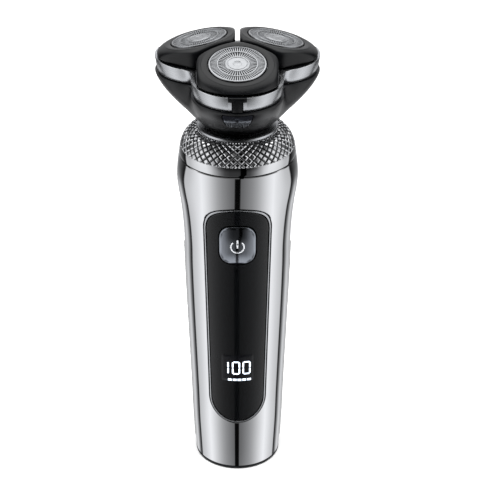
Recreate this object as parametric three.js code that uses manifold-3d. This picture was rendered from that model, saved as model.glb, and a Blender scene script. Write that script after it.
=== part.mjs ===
// A cordless rotary shaver: a tapered handle that stands on its base, and a lift-off
// shaving head with three tilting cutter pods driven through a small gear train.
// Millimetres, +Z up, +X to the right, the front faces -Y. The origin is the centre of the base.
import * as THREE from 'three';
import { mergeVertices } from 'three/addons/utils/BufferGeometryUtils.js';
import Module from 'manifold-3d';

const wasm = await Module();
wasm.setup();

// ---------------------------------------------------------------- driving dimensions
const gap = 0.3;                 // between two pieces that touch or seat on each other
const runningGap = 0.35;         // round a piece that moves in another

// Handle
const handleHeight = 130.5;      // table to the shoulder edge
const handleRadius = 19.7;       // at the waist, below the flare
const shellThickness = 1.8;
const splitOffset = 1.0;         // the seam of the two shells lies behind the middle
const baseCapHeight = 2.0;
const baseEdgeRound = 1.3;
// The side outline of the shells: share of the handle's height, share of its radius.
const handleOutline = [
  [0.0, 0.832], [0.12, 0.87], [0.24, 0.895], [0.47, 0.952], [0.66, 0.993], [0.745, 1.0],
  [0.828, 1.028], [0.88, 1.063], [0.925, 1.119], [0.962, 1.107], [1.0, 1.081],
];

// Control panel
const panelTopMargin = 13.6;     // shoulder edge to the top of the panel
const panelBottomMargin = 23.9;  // table to the bottom of the panel
const panelTopHalfWidth = 11.2;
const panelBottomHalfWidth = 9.7;
const panelThickness = 1.8;
const bezelWidth = 0.5;
const buttonWidth = 13.3;
const buttonHeight = 15.6;
const buttonCorner = 5.6;
const buttonDrop = 7.0;          // top of the panel to the top of the button
const buttonProud = 0.5;
const buttonTravel = 0.8;
const displayWidth = 12.0;
const displayHeight = 12.0;
const displayDrop = 63.0;        // top of the panel to the top of the display

// Rear grip
const gripBottom = 4.0;
const gripDrop = 37.5;           // shoulder edge to the top of the grip
const gripThickness = 0.9;
const gripProud = 0.3;

// Inside the handle
const batteryRadius = 9.1;
const batteryLength = 65.0;
const batteryBottom = 13.0;
const batteryOffset = 2.0;       // behind the middle
const boardThickness = 1.4;
const boardHalfWidth = 8.0;
const boardBottom = 26.0;
const motorRadius = 10.2;
const motorLength = 29.4;
const motorWall = 1.2;
const motorDrop = 13.1;          // shoulder edge to the top of the motor can
const shaftRadius = 1.0;
const screwRadius = 0.9;
const socketWidth = 12.0;
const socketDepth = 8.4;
const socketOffset = 6.8;        // behind the middle
const socketHeight = 9.6;
const socketWall = 1.7;

// Shoulder and neck
const collarRise = 10.1;
const collarTopRadius = 14.4;
const collarWall = 1.5;
const neckRingHeight = 1.0;
const neckTubeRadius = 8.0;
const spigotWall = 1.9;
const hexRadius = 2.5;

// Cutters and pods: the outline of the whole head follows from these
const guardRadius = 10.0;
const rimWidth = 2.6;
const podShoulder = 3.0;
const podGap = 1.65;             // between the flat sides of two pods
const cutterTilt = THREE.MathUtils.degToRad(13.5);
const faceRise = 5.2;            // pod's lower edge to the middle of its cutter face
const guardFlange = 1.2;
const bladeDepth = 5.4;          // cutter face to the bottom of the inner cutter's hub
const podClearance = 0.6;        // under a pod, so that it can tilt
const pivotInset = 3.5;          // the tilt axis lies this far inside the pod's middle

// Head
const funnelHeight = 17.0;
const funnelNeckRadius = 11.4;
const headWall = 1.4;
const frameHeight = 5.2;
const trimThickness = 0.7;
const trimRelief = 0.4;          // the trim stands out from the pods by this much
const trimBreak = 4.0;           // gap between two trims at the tip of a lobe
const trimBreakTop = 6.3;
const valleyRound = 3.0;
const valleyOpening = 7;         // how much wider the valleys are rounded at the rim
const hingeStandoff = 0.55;      // rear of the lobes to the head's hinge pin
const hingePinRadius = 0.8;
const latchTravel = 0.6;
const sunTeeth = 12;
const planetTeeth = 17;
const gearThickness = 2.4;

// ---------------------------------------------------------------- sizes that follow
const shoulderEdge = handleHeight;
const collarBottom = shoulderEdge + gap;
const collarTop = collarBottom + collarRise;
const neckRingBottom = collarTop + gap;
const neckRingTop = neckRingBottom + neckRingHeight;
const headBottom = neckRingTop + 0.4;
const funnelBottom = headBottom + 0.4;
const headRim = funnelBottom + funnelHeight;
const frameBottom = headRim + gap;
const frameTop = frameBottom + frameHeight;
const podBottom = frameTop + podClearance;
const faceHeight = podBottom + faceRise;

const sixty = Math.PI / 3;
const rimRadius = guardRadius + rimWidth;
const lobeOffset = (rimRadius + podGap / 2) / Math.sin(sixty);
const podRadius = rimRadius + podShoulder;
const lobeRadius = podRadius + trimRelief;
const frameRadius = lobeRadius - trimThickness - gap;
const chamberRadius = lobeOffset * Math.sin(sixty) - gap;
const faceOffset = lobeOffset + 0.2;
const spindleOffset = faceOffset - bladeDepth * Math.sin(cutterTilt) + 0.06;
const gearModule = (2 * spindleOffset) / (sunTeeth + planetTeeth);
const gearTop = headRim - 2.8;
const gearBottom = gearTop - gearThickness;
const plateTop = gearBottom - 0.6;
const plateThickness = 1.4;
const coverBottom = gearTop + 0.5;
const coverTop = coverBottom + 1.0;
const postOffset = 0.79 * spindleOffset;
const pivotHeight = frameTop - 1.9;
const trimStep = frameTop - 0.3 * frameHeight;  // where the break between two trims widens
const hingeHeight = frameBottom + 1.6;
const hingeReach = lobeOffset * Math.sin(Math.PI / 6) + lobeRadius + hingeStandoff;

const motorTop = shoulderEdge - motorDrop;
const motorBottom = motorTop - motorLength;
const panelTop = shoulderEdge - panelTopMargin;
const buttonMiddle = panelTop - buttonDrop - buttonHeight / 2;
const displayMiddle = panelTop - displayDrop - displayHeight / 2;
const gripTop = shoulderEdge - gripDrop;
const lobes = { front: -Math.PI / 2, right: Math.PI / 6, left: (5 * Math.PI) / 6 };

// ---------------------------------------------------------------- solids
function facingOut(geometry) {
  const position = geometry.attributes.position;
  const index = geometry.index;
  const [a, b, c] = [new THREE.Vector3(), new THREE.Vector3(), new THREE.Vector3()];
  let volume = 0;
  for (let i = 0; i < index.count; i += 3) {
    a.fromBufferAttribute(position, index.getX(i));
    b.fromBufferAttribute(position, index.getX(i + 1));
    c.fromBufferAttribute(position, index.getX(i + 2));
    volume += a.dot(b.cross(c));
  }
  if (volume < 0) index.array.reverse();
  return geometry;
}

function solid(geometry) {
  geometry.deleteAttribute('normal');
  geometry.deleteAttribute('uv');
  const merged = facingOut(mergeVertices(geometry, 1e-4));
  const vertProperties = new Float32Array(merged.attributes.position.array);
  const triVerts = new Uint32Array(merged.index.array);
  return new wasm.Manifold(new wasm.Mesh({ numProp: 3, vertProperties, triVerts }));
}

function geometryOf(shape) {
  const result = shape.getMesh();
  const geometry = new THREE.BufferGeometry();
  geometry.setAttribute('position', new THREE.BufferAttribute(result.vertProperties, 3));
  geometry.setIndex(new THREE.BufferAttribute(result.triVerts, 1));
  return geometry;
}

const cut = (body, ...tools) => tools.reduce((left, tool) => left.subtract(tool), body);
const join = (body, ...others) => others.reduce((sum, other) => sum.add(other), body);
const common = (body, ...others) => others.reduce((left, other) => left.intersect(other), body);

// Every helper below takes its limits in place, so a piece needs no moving afterwards.
function block([x0, x1], [y0, y1], [z0, z1]) {
  const box = new THREE.BoxGeometry(x1 - x0, y1 - y0, z1 - z0);
  return solid(box.translate((x0 + x1) / 2, (y0 + y1) / 2, (z0 + z1) / 2));
}

function turned(profile, segments = 30) {
  const points = profile.map(([radius, height]) => new THREE.Vector2(radius, height));
  return solid(new THREE.LatheGeometry(points, segments).rotateX(Math.PI / 2));
}

function ring(inner, outer, bottom, top, segments = 30) {
  return turned([[inner, bottom], [outer, bottom], [outer, top], [inner, top], [inner, bottom]], segments);
}

function rod(radius, [from, to], segments = 12, [x, y] = [0, 0]) {
  const shape = new THREE.CylinderGeometry(radius, radius, to - from, segments);
  return solid(shape.rotateX(Math.PI / 2).translate(x, y, (from + to) / 2));
}

function rodAlongX(radius, [from, to], [y, z], segments = 12) {
  const shape = new THREE.CylinderGeometry(radius, radius, to - from, segments);
  return solid(shape.rotateZ(Math.PI / 2).translate((from + to) / 2, y, z));
}

function rodAlongY(radius, [from, to], [x, z], segments = 12) {
  const shape = new THREE.CylinderGeometry(radius, radius, to - from, segments);
  return solid(shape.translate(x, (from + to) / 2, z));
}

// An outline drawn as the shaver is seen from the front, pushed through its front wall.
function throughFront(shape, curveSegments = 6) {
  const options = { depth: 40, bevelEnabled: false, curveSegments };
  return solid(new THREE.ExtrudeGeometry(shape, options).rotateX(Math.PI / 2));
}

function upwards(shape, bottom, top) {
  const options = { depth: top - bottom, bevelEnabled: false, curveSegments: 8 };
  return solid(new THREE.ExtrudeGeometry(shape, options).translate(0, 0, bottom));
}

function material(color, roughness, metalness) {
  return new THREE.MeshStandardMaterial({ color, roughness, metalness });
}

const chrome = material(0xc9ced3, 0.08, 1.0);
const satinChrome = material(0xb9bec4, 0.25, 1.0);
const steel = material(0xa9adb1, 0.35, 1.0);
const glossBlack = material(0x0b0c0e, 0.1, 0.0);
const darkChrome = material(0x4a5058, 0.15, 0.9);
const blackPlastic = material(0x17181a, 0.5, 0.0);
const whitePlastic = material(0xd8d9d6, 0.5, 0.0);
const rubber = material(0x202124, 0.85, 0.0);
const boardGreen = material(0x1d5c3a, 0.6, 0.0);
const batteryWrap = material(0x2f6f9f, 0.45, 0.0);
const brass = material(0xb58b42, 0.35, 1.0);

const shaver = new THREE.Group();

function piece(parent, name, shape, finish) {
  const mesh = new THREE.Mesh(geometryOf(shape), finish);
  mesh.name = name;
  parent.add(mesh);
}

// ---------------------------------------------------------------- handle
const outlineCurve = new THREE.SplineCurve(
  handleOutline.map(([level, width]) => new THREE.Vector2(level * handleHeight, width * handleRadius)),
);

function radiusAt(height) {
  let [low, high] = [0, 1];
  for (let step = 0; step < 30; step += 1) {
    const middle = (low + high) / 2;
    if (outlineCurve.getPoint(middle).x < height) low = middle;
    else high = middle;
  }
  return outlineCurve.getPoint(low).y;
}

// The circuit board lies as far forward as the shells leave room for its lower corners.
const boardFront = Math.sqrt(
  (radiusAt(boardBottom) - shellThickness - 2 * gap) ** 2 - boardHalfWidth ** 2);

// The handle's outer form between two heights, grown outwards by an offset.
function handleForm(offset, bottom = baseCapHeight + gap, top = shoulderEdge) {
  const levels = [bottom];
  for (const [level] of handleOutline) {
    const height = level * handleHeight;
    if (height > bottom + 1 && height < top - 1) levels.push(height);
  }
  levels.push(top);
  const side = levels.map((height) => [radiusAt(height) + offset, height]);
  return turned([[0, bottom], ...side, [0, top]], 36);
}

function skinForm(outer, inner) {
  return cut(handleForm(outer), handleForm(inner, 1, shoulderEdge + 1));
}

function panelOutline(grow) {
  const bottomRadius = panelBottomHalfWidth + grow;
  const topHalf = panelTopHalfWidth + grow;
  const top = panelTop + grow;
  const bottomCentre = panelBottomMargin + panelBottomHalfWidth;
  const corner = 0.62 * panelTopHalfWidth;
  const shape = new THREE.Shape();
  shape.absarc(0, bottomCentre, bottomRadius, Math.PI, 2 * Math.PI, false);
  shape.lineTo(topHalf, top - corner * 1.35);
  shape.bezierCurveTo(topHalf, top - corner * 0.45, topHalf - corner * 0.4, top - 0.7, 0, top);
  shape.bezierCurveTo(corner * 0.4 - topHalf, top - 0.7, -topHalf, top - corner * 0.45,
    -topHalf, top - corner * 1.35);
  shape.closePath();
  return shape;
}

function roundedRectangle(width, height, corner, middle) {
  const [x, y] = [width / 2, height / 2];
  const shape = new THREE.Shape();
  shape.moveTo(-x + corner, middle - y);
  shape.lineTo(x - corner, middle - y);
  shape.quadraticCurveTo(x, middle - y, x, middle - y + corner);
  shape.lineTo(x, middle + y - corner);
  shape.quadraticCurveTo(x, middle + y, x - corner, middle + y);
  shape.lineTo(-x + corner, middle + y);
  shape.quadraticCurveTo(-x, middle + y, -x, middle + y - corner);
  shape.lineTo(-x, middle - y + corner);
  shape.quadraticCurveTo(-x, middle - y, -x + corner, middle - y);
  return shape;
}

function buildShells() {
  const beyond = handleRadius * 2;
  const tall = [0, shoulderEdge + 5];
  const frontHalf = block([-beyond, beyond], [-beyond, splitOffset - gap / 2], tall);
  const rearHalf = block([-beyond, beyond], [splitOffset + gap / 2, beyond], tall);
  const skin = skinForm(0, -shellThickness);
  const window = throughFront(panelOutline(bezelWidth + 2 * gap));
  piece(shaver, 'front_shell', cut(common(skin, frontHalf), window), chrome);

  const gripBand = (grow) => block(
    [-beyond, beyond], [splitOffset + gap / 2, beyond], [gripBottom - grow, gripTop + grow]);
  const gripPocket = cut(
    gripBand(gap), handleForm(gripProud - gripThickness - gap, 1, shoulderEdge + 1));
  const bossLevel = motorBottom - 5;
  const boss = cut(
    rodAlongY(2.8, [12.8, radiusAt(bossLevel) - shellThickness + gap], [0, bossLevel]),
    rodAlongY(screwRadius + gap, [10, handleRadius], [0, bossLevel], 12),
  );
  const rear = join(common(cut(skin, gripPocket), rearHalf), boss);
  const screwWay = rodAlongY(screwRadius + gap, [10, 30], [0, bossLevel], 12);
  const headWay = rodAlongY(2.3, [radiusAt(bossLevel) - 1.9, 30], [0, bossLevel], 16);
  piece(shaver, 'rear_shell', cut(rear, screwWay, headWay), blackPlastic);

  const grip = common(skinForm(gripProud, gripProud - gripThickness), gripBand(0));
  piece(shaver, 'rear_grip', grip, rubber);

  const screwHead = radiusAt(bossLevel) - 1.6;
  const screw = join(
    rodAlongY(screwRadius, [8.6, screwHead], [0, bossLevel], 8),
    rodAlongY(1.8, [screwHead - 0.1, screwHead + 0.7], [0, bossLevel], 12),
  );
  piece(shaver, 'shell_screw', screw, steel);
}

function buildBase() {
  const outer = radiusAt(baseCapHeight + gap);
  const spigot = outer - shellThickness - gap;
  const edge = [];
  for (let step = 0; step <= 2; step += 1) {
    const turn = (step / 2) * (Math.PI / 2);
    edge.push([outer - baseEdgeRound * (1 - Math.sin(turn)), baseEdgeRound * (1 - Math.cos(turn))]);
  }
  const cap = turned([
    [0, 0], ...edge, [outer, baseCapHeight], [spigot, baseCapHeight], [spigot, baseCapHeight + 3],
    [spigot - 1.6, baseCapHeight + 3], [spigot - 1.6, baseCapHeight], [0, baseCapHeight],
  ]);
  const half = socketWidth / 2;
  const [front, back] = [socketOffset - socketDepth / 2, socketOffset + socketDepth / 2];
  const socketWay = block([-half - gap, half + gap], [front - gap, back + gap], [-1, 8]);
  const screwPlace = spigot - 4.3;
  const ways = [-screwPlace, screwPlace].flatMap((x) => [
    rod(screwRadius + gap, [-1, 8], 12, [x, 0]),
    rod(2.1, [-1, 1.0], 16, [x, 0]),
  ]);
  piece(shaver, 'base_cap', cut(cap, socketWay, ...ways), blackPlastic);

  const inside = half - socketWall;
  const cavity = block([-inside, inside], [front + socketWall, back - socketWall],
    [-1, socketHeight - socketWall]);
  const pinPlace = inside / 2;
  const pinWays = [-pinPlace, pinPlace].map((x) => rod(0.5 + gap, [0, 20], 10, [x, socketOffset]));
  const shell = block([-half, half], [front, back], [0.4, socketHeight]);
  piece(shaver, 'charging_socket', cut(shell, cavity, ...pinWays), blackPlastic);
  for (const [side, x] of [['left', -pinPlace], ['right', pinPlace]]) {
    const pin = rod(0.5, [socketHeight - socketWall - 2.2, socketHeight + 0.9], 10, [x, socketOffset]);
    piece(shaver, `contact_pin_${side}`, pin, brass);
  }
  for (const [side, x] of [['left', -screwPlace], ['right', screwPlace]]) {
    const screw = join(
      rod(screwRadius, [0.2, 9.4], 8, [x, 0]),
      rod(1.7, [0.2, 0.9], 12, [x, 0]),
    );
    piece(shaver, `base_screw_${side}`, screw, steel);
  }
  return screwPlace;
}

function buildPanel() {
  const skin = skinForm(0, -panelThickness);
  const opening = throughFront(roundedRectangle(
    buttonWidth + 2 * runningGap, buttonHeight + 2 * runningGap, buttonCorner, buttonMiddle));
  const bezel = cut(
    common(skin, throughFront(panelOutline(bezelWidth + gap))),
    throughFront(panelOutline(gap)),
  );
  piece(shaver, 'panel_bezel', bezel, satinChrome);
  const panel = cut(common(skin, throughFront(panelOutline(0))), opening);
  piece(shaver, 'front_panel', panel, glossBlack);

  const flangeTop = -panelThickness - gap;
  const capShape = roundedRectangle(buttonWidth, buttonHeight, buttonCorner, buttonMiddle);
  const flangeShape = roundedRectangle(
    buttonWidth + 2.2, buttonHeight + 2.2, buttonCorner + 0.6, buttonMiddle);
  const button = join(
    common(skinForm(buttonProud, flangeTop - 0.8), throughFront(capShape, 5)),
    common(skinForm(flangeTop, flangeTop - 0.8), throughFront(flangeShape, 3)),
  );
  piece(shaver, 'power_button', button, darkChrome);

  const flangeBack = radiusAt(buttonMiddle) + flangeTop - 0.8;
  const plungerTip = flangeBack - buttonTravel - 0.2;
  const switchFront = plungerTip - 0.9;
  const switchBack = boardFront + gap;
  const body = block([-3, 3], [-switchFront, -switchBack], [buttonMiddle - 3, buttonMiddle + 3]);
  const socket = rodAlongY(1.3 + runningGap, [-30, -switchBack - 0.5], [0, buttonMiddle]);
  piece(shaver, 'power_switch', cut(body, socket), blackPlastic);
  const stem = rodAlongY(1.3, [-flangeBack + gap, -switchBack - 0.6 - buttonTravel], [0, buttonMiddle]);
  piece(shaver, 'switch_plunger', stem, whitePlastic);
}

function buildElectronics() {
  const y = [-boardFront, -boardFront + boardThickness];
  const boardTop = motorTop - 1.4;
  const screwLevels = [['upper', motorBottom - 5], ['lower', boardBottom + 4]];
  const board = block([-boardHalfWidth, boardHalfWidth], y, [boardBottom, boardTop]);
  const ways = screwLevels.map(([, z]) => rodAlongY(screwRadius + gap, [-20, -8], [0, z], 12));
  piece(shaver, 'circuit_board', cut(board, ...ways), boardGreen);
  for (const [place, z] of screwLevels) {
    const screw = join(
      rodAlongY(screwRadius, [-boardFront - gap, -8.2], [0, z], 8),
      rodAlongY(1.7, [-boardFront - gap - 0.8, -boardFront - gap], [0, z], 12),
    );
    piece(shaver, `board_screw_${place}`, screw, steel);
  }
  const half = displayWidth / 2;
  const levels = [displayMiddle - displayHeight / 2, displayMiddle + displayHeight / 2];
  const inside = radiusAt(displayMiddle) - panelThickness;
  const displayFront = Math.sqrt(inside ** 2 - half ** 2) - 2 * gap;
  piece(shaver, 'display_module', block([-half, half], [-displayFront, -boardFront - gap], levels),
    whitePlastic);
  const cell = join(
    rod(batteryRadius, [batteryBottom, batteryBottom + batteryLength - 1.2], 24, [0, batteryOffset]),
    rod(3.2, [batteryBottom + 1, batteryBottom + batteryLength], 16, [0, batteryOffset]),
  );
  piece(shaver, 'battery_cell', cell, batteryWrap);
}

function buildChassis(footPlace) {
  const plate = [-boardFront + boardThickness + 2.6, batteryOffset - batteryRadius - gap - 0.2];
  const bridgeBottom = batteryBottom + batteryLength + gap;
  const bridgeTop = motorBottom - 2;
  const bossLevel = motorBottom - 5;
  const floor = [batteryBottom - 2.0, batteryBottom - gap];
  const inside = radiusAt(floor[0]) - shellThickness - gap;
  const wide = Math.sqrt(inside ** 2 - plate[0] ** 2) - gap;
  const cradle = common(
    rod(radiusAt(batteryBottom) - shellThickness - gap, floor, 24),
    block([-20, 20], [plate[0], 8], [0, 30]),
  );
  const parts = join(
    block([-wide, wide], plate, [floor[0], bridgeTop]),
    cradle,
    block([-5, 5], [plate[0], 12.4], [bridgeBottom, bridgeTop]),
    ...[bossLevel, boardBottom + 4].map(
      (z) => rodAlongY(2.2, [-boardFront + boardThickness + gap, plate[0] + 0.5], [0, z])),
    ...[-footPlace, footPlace].map((x) => rod(2.2, [baseCapHeight + gap, floor[1]], 16, [x, 0])),
  );
  const ways = [
    rodAlongY(screwRadius + gap, [-20, -7.0], [0, boardBottom + 4], 12),
    rodAlongY(screwRadius + gap, [-20, -7.0], [0, bossLevel], 12),
    rodAlongY(screwRadius + gap, [8.0, 20], [0, bossLevel], 12),
    ...[-footPlace, footPlace].map((x) => rod(screwRadius + gap, [0, 10.0], 12, [x, 0])),
  ];
  piece(shaver, 'chassis', cut(parts, ...ways), blackPlastic);
}

function buildMotor() {
  const inner = motorRadius - motorWall;
  const bushTop = motorTop + 2.4;
  const can = turned([
    [inner, motorBottom], [motorRadius, motorBottom], [motorRadius, motorTop], [3, motorTop],
    [3, bushTop], [shaftRadius + gap, bushTop], [shaftRadius + gap, motorTop - motorWall],
    [inner, motorTop - motorWall], [inner, motorBottom],
  ], 24);
  const screwPlace = 7.2;
  const threads = [-screwPlace, screwPlace].map(
    (x) => rod(screwRadius + gap, [motorTop - 3, motorTop + 3], 12, [x, 0]));
  piece(shaver, 'motor_can', cut(can, ...threads), steel);
  piece(shaver, 'motor_endcap', ring(shaftRadius + gap, inner - gap, motorBottom, motorBottom + 2, 20),
    whitePlastic);

  const plateBottom = motorTop + gap;
  const top = plateBottom + 1.6;
  const plate = cut(
    ring(3 + gap, radiusAt(motorTop) - shellThickness - 1.6, plateBottom, top, 28),
    ...[-screwPlace, screwPlace].map((x) => rod(screwRadius + gap, [plateBottom - 1, top + 1], 12, [x, 0])),
  );
  piece(shaver, 'motor_plate', plate, steel);
  for (const [side, x] of [['left', -screwPlace], ['right', screwPlace]]) {
    const screw = join(
      rod(screwRadius, [motorTop - motorWall - 0.2, top + gap + 0.1], 8, [x, 0]),
      rod(1.7, [top + gap, top + gap + 1], 12, [x, 0]),
    );
    piece(shaver, `motor_screw_${side}`, screw, steel);
  }
}

// Turns as one: rotor, drive coupling and, through the hexagon, the gear train in the head.
function buildDrive() {
  const inner = motorRadius - motorWall;
  const rotorBottom = motorBottom + 4;
  const rotorTop = motorTop - motorWall - 3;
  const shaftTop = motorTop + 12.6;
  const rotor = turned([
    [0, motorBottom + 0.6], [shaftRadius, motorBottom + 0.6], [shaftRadius, rotorBottom],
    [inner - 1.0, rotorBottom], [inner - 1.0, rotorTop], [shaftRadius, rotorTop],
    [shaftRadius, shaftTop], [0, shaftTop],
  ], 16);
  piece(shaver, 'motor_rotor', rotor, brass);

  const bodyBottom = motorTop + 4.4;
  const bodyTop = collarTop - 5.7;
  const body = join(
    rod(3.4, [bodyBottom, bodyTop], 18),
    rod(hexRadius, [bodyTop - 0.5, headBottom + 2.6], 6),
  );
  piece(shaver, 'drive_coupling', cut(body, rod(shaftRadius + gap, [0, shaftTop + gap], 16)), whitePlastic);
}

function arc(steps, [centreR, centreZ], [radial, axial]) {
  const points = [];
  for (let step = 0; step <= steps; step += 1) {
    const turn = (step / steps) * (Math.PI / 2);
    points.push([centreR + radial * Math.cos(turn), centreZ + axial * Math.sin(turn)]);
  }
  return points;
}

function buildShoulder() {
  const edge = radiusAt(shoulderEdge);
  const skirt = edge - shellThickness - gap;
  const outer = arc(6, [collarTopRadius, collarBottom], [edge - collarTopRadius, collarRise]);
  const inner = arc(3, [collarTopRadius, collarBottom],
    [skirt - collarWall - collarTopRadius + 0.4, collarRise - collarWall]).reverse();
  const collar = turned([
    ...outer, [collarTopRadius - collarWall, collarTop],
    [collarTopRadius - collarWall, collarTop - collarWall], ...inner,
    [skirt - collarWall + 0.4, collarBottom - 2.4], [skirt, collarBottom - 2.4], [skirt, collarBottom],
    outer[0],
  ]);
  piece(shaver, 'shoulder_collar', collar, chrome);

  const spigotOuter = neckTubeRadius + runningGap + spigotWall;
  const ringOuter = collarTopRadius + 0.1;
  const neckRing = turned([
    [spigotOuter + runningGap, neckRingBottom], [ringOuter, neckRingBottom],
    [ringOuter, neckRingTop - 0.4], [ringOuter - 0.4, neckRingTop],
    [spigotOuter + runningGap, neckRingTop], [spigotOuter + runningGap, neckRingBottom],
  ]);
  piece(shaver, 'neck_ring', neckRing, satinChrome);

  const flangeBottom = shoulderEdge - 4.9;
  const flange = radiusAt(flangeBottom + 2) - shellThickness - 1.2;
  const tubeBore = neckTubeRadius - 2;
  const neckFrame = turned([
    [tubeBore, flangeBottom - 2.4], [neckTubeRadius, flangeBottom - 2.4], [neckTubeRadius, flangeBottom],
    [flange, flangeBottom], [flange, flangeBottom + 1.8], [neckTubeRadius, flangeBottom + 1.8],
    [neckTubeRadius, neckRingBottom], [tubeBore, neckRingBottom], [tubeBore, flangeBottom - 2.4],
  ], 28);
  piece(shaver, 'neck_frame', neckFrame, blackPlastic);
  piece(shaver, 'neck_seal',
    ring(3.4 + runningGap, tubeBore - gap, collarTop - 8.4, collarTop - 6.4, 20), rubber);
}

// ---------------------------------------------------------------- head
// Distance from the axis to an outline of three round lobes with filleted valleys.
function lobedRadius(angle, offset, radius, fillet = valleyRound) {
  const reaches = Object.values(lobes).map((lobe) => {
    const side = offset * Math.sin(angle - lobe);
    return offset * Math.cos(angle - lobe) + Math.sqrt(Math.max(radius ** 2 - side ** 2, 0));
  });
  reaches.sort((a, b) => b - a);
  const nearness = Math.max(fillet - (reaches[0] - reaches[1]), 0) / Math.max(fillet, 1e-6);
  return reaches[0] + (nearness ** 2 * fillet) / 4;
}

// A closed body whose cross-section is a lobed outline at each level: [height, offset, radius].
// Without a fillet of its own, its valleys open up as the lobes spread.
function lobedForm(levels, fillet = null, segments = 42) {
  const heights = levels.map(([height]) => height);
  const points = [new THREE.Vector2(0, heights[0])];
  for (const height of heights) points.push(new THREE.Vector2(1, height));
  points.push(new THREE.Vector2(0, heights[heights.length - 1]));
  const geometry = new THREE.LatheGeometry(points, segments).rotateX(Math.PI / 2);
  const position = geometry.attributes.position;
  for (let index = 0; index < position.count; index += 1) {
    const row = index % points.length;
    if (row > 0 && row <= levels.length) {
      const [height, offset, radius] = levels[row - 1];
      const angle = Math.atan2(position.getY(index), position.getX(index));
      const round = fillet ?? valleyRound + valleyOpening * (offset / lobeOffset);
      const reach = lobedRadius(angle, offset, radius, round);
      position.setXYZ(index, reach * Math.cos(angle), reach * Math.sin(angle), height);
    }
  }
  return solid(geometry);
}

// The head widens from the round neck to the three lobes.
function funnelLevels(wall, bottom, top, steps) {
  const levels = [];
  for (let step = 0; step <= steps; step += 1) {
    const height = bottom + ((top - bottom) * step) / steps;
    const left = 1 - Math.min(Math.max((height - funnelBottom) / funnelHeight, 0), 1);
    const offset = lobeOffset * (1 - left ** 1.4);
    const radius = funnelNeckRadius + (lobeRadius - funnelNeckRadius) * (1 - left ** 1.8);
    levels.push([height, offset, radius - wall]);
  }
  return levels;
}

function inLobe(angle, radius, side = 0) {
  return [
    radius * Math.cos(angle) - side * Math.sin(angle),
    radius * Math.sin(angle) + side * Math.cos(angle),
  ];
}

const valleys = Object.values(lobes).map((lobe) => lobe + Math.PI);

// The latch lies flush in the front of the funnel, square to its slope there.
const latchMiddle = headRim - 5.4;
const latchSlope = Math.PI / 4;

function latchTool(grow) {
  const [low, high] = [3.5 + grow, 5.2 + grow];
  const [down, up] = [-4.9 - grow, 4.9 + grow];
  const shape = new THREE.Shape();
  shape.moveTo(-low + 1.4, down);
  shape.lineTo(low - 1.4, down);
  shape.quadraticCurveTo(low, down, low + 0.25, down + 1.6);
  shape.lineTo(high, up - 1.2);
  shape.quadraticCurveTo(high, up, high - 1.2, up);
  shape.lineTo(-high + 1.2, up);
  shape.quadraticCurveTo(-high, up, -high, up - 1.2);
  shape.lineTo(-low - 0.25, down + 1.6);
  shape.quadraticCurveTo(-low, down, -low + 1.4, down);
  const [, offset, radius] = funnelLevels(0, latchMiddle, headRim, 1)[0];
  const options = { depth: 8, bevelEnabled: false, curveSegments: 4 };
  const tool = new THREE.ExtrudeGeometry(shape, options).translate(0, 0, -4);
  tool.rotateX(Math.PI / 2 + latchSlope).translate(0, -(offset + radius), latchMiddle);
  return solid(tool);
}

function hingeEars() {
  const sides = [[-5.2, -2.6], [2.6, 5.2]];
  const solids = sides.flatMap((x) => [
    block(x, [lobeOffset, hingeReach + 1.6], [headRim - 2.8, headRim]),
    block(x, [hingeReach - 1.6, hingeReach + 1.6], [headRim - 2.8, hingeHeight]),
    rodAlongX(1.6, x, [hingeReach, hingeHeight]),
  ]);
  return cut(join(...solids), rodAlongX(hingePinRadius + gap, [-9, 9], [hingeReach, hingeHeight]));
}

function buildHeadBase() {
  const outer = lobedForm([[headBottom, 0, funnelNeckRadius], ...funnelLevels(0, funnelBottom, headRim, 5)]);
  const floorTop = headBottom + 2;
  const posts = valleys.map((angle) => rod(2.0, [headBottom, plateTop - plateThickness - gap], 10,
    inLobe(angle, postOffset)));
  const cavity = cut(lobedForm(funnelLevels(headWall, floorTop, headRim + 1, 4)), ...posts);
  const spigotInner = neckTubeRadius + runningGap;
  const spigot = ring(spigotInner, spigotInner + spigotWall, collarTop - 3.1, headBottom + 1, 28);
  const centreWay = rod(4.2 + runningGap, [collarTop - 5, floorTop + 1], 20);
  const threads = valleys.map((angle) => rod(screwRadius + gap,
    [floorTop + 1.6, plateTop], 8, inLobe(angle, postOffset)));
  const body = cut(join(cut(outer, cavity), spigot, hingeEars()), centreWay, latchTool(runningGap), ...threads);
  piece(shaver, 'head_base', body, glossBlack);

  const sunk = lobedForm(funnelLevels(0, funnelBottom, headRim, 5).map(
    ([height, offset, radius]) => [height, offset, radius - 1.75]));
  const buttonSkin = cut(lobedForm(funnelLevels(0, funnelBottom, headRim, 5)), sunk);
  piece(shaver, 'release_button', common(buttonSkin, latchTool(0)), darkChrome);

  const pin = rodAlongX(hingePinRadius, [-5, 5], [hingeReach, hingeHeight]);
  piece(shaver, 'hinge_pin', pin, steel);
}

function gearOutline(teeth) {
  const pitch = (gearModule * teeth) / 2;
  const [root, tip] = [pitch - 1.15 * gearModule, pitch + 0.8 * gearModule];
  const half = (Math.PI / 2 / teeth) * 0.76;
  const shape = new THREE.Shape();
  for (let tooth = 0; tooth < teeth; tooth += 1) {
    const middle = (tooth * 2 * Math.PI) / teeth;
    const corners = [[root, -1.35], [tip, -0.6], [tip, 0.6], [root, 1.35]];
    corners.forEach(([radius, share], corner) => {
      const angle = middle + share * half;
      const [x, y] = [radius * Math.cos(angle), radius * Math.sin(angle)];
      if (tooth + corner === 0) shape.moveTo(x, y);
      else shape.lineTo(x, y);
    });
  }
  shape.closePath();
  return shape;
}

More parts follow.
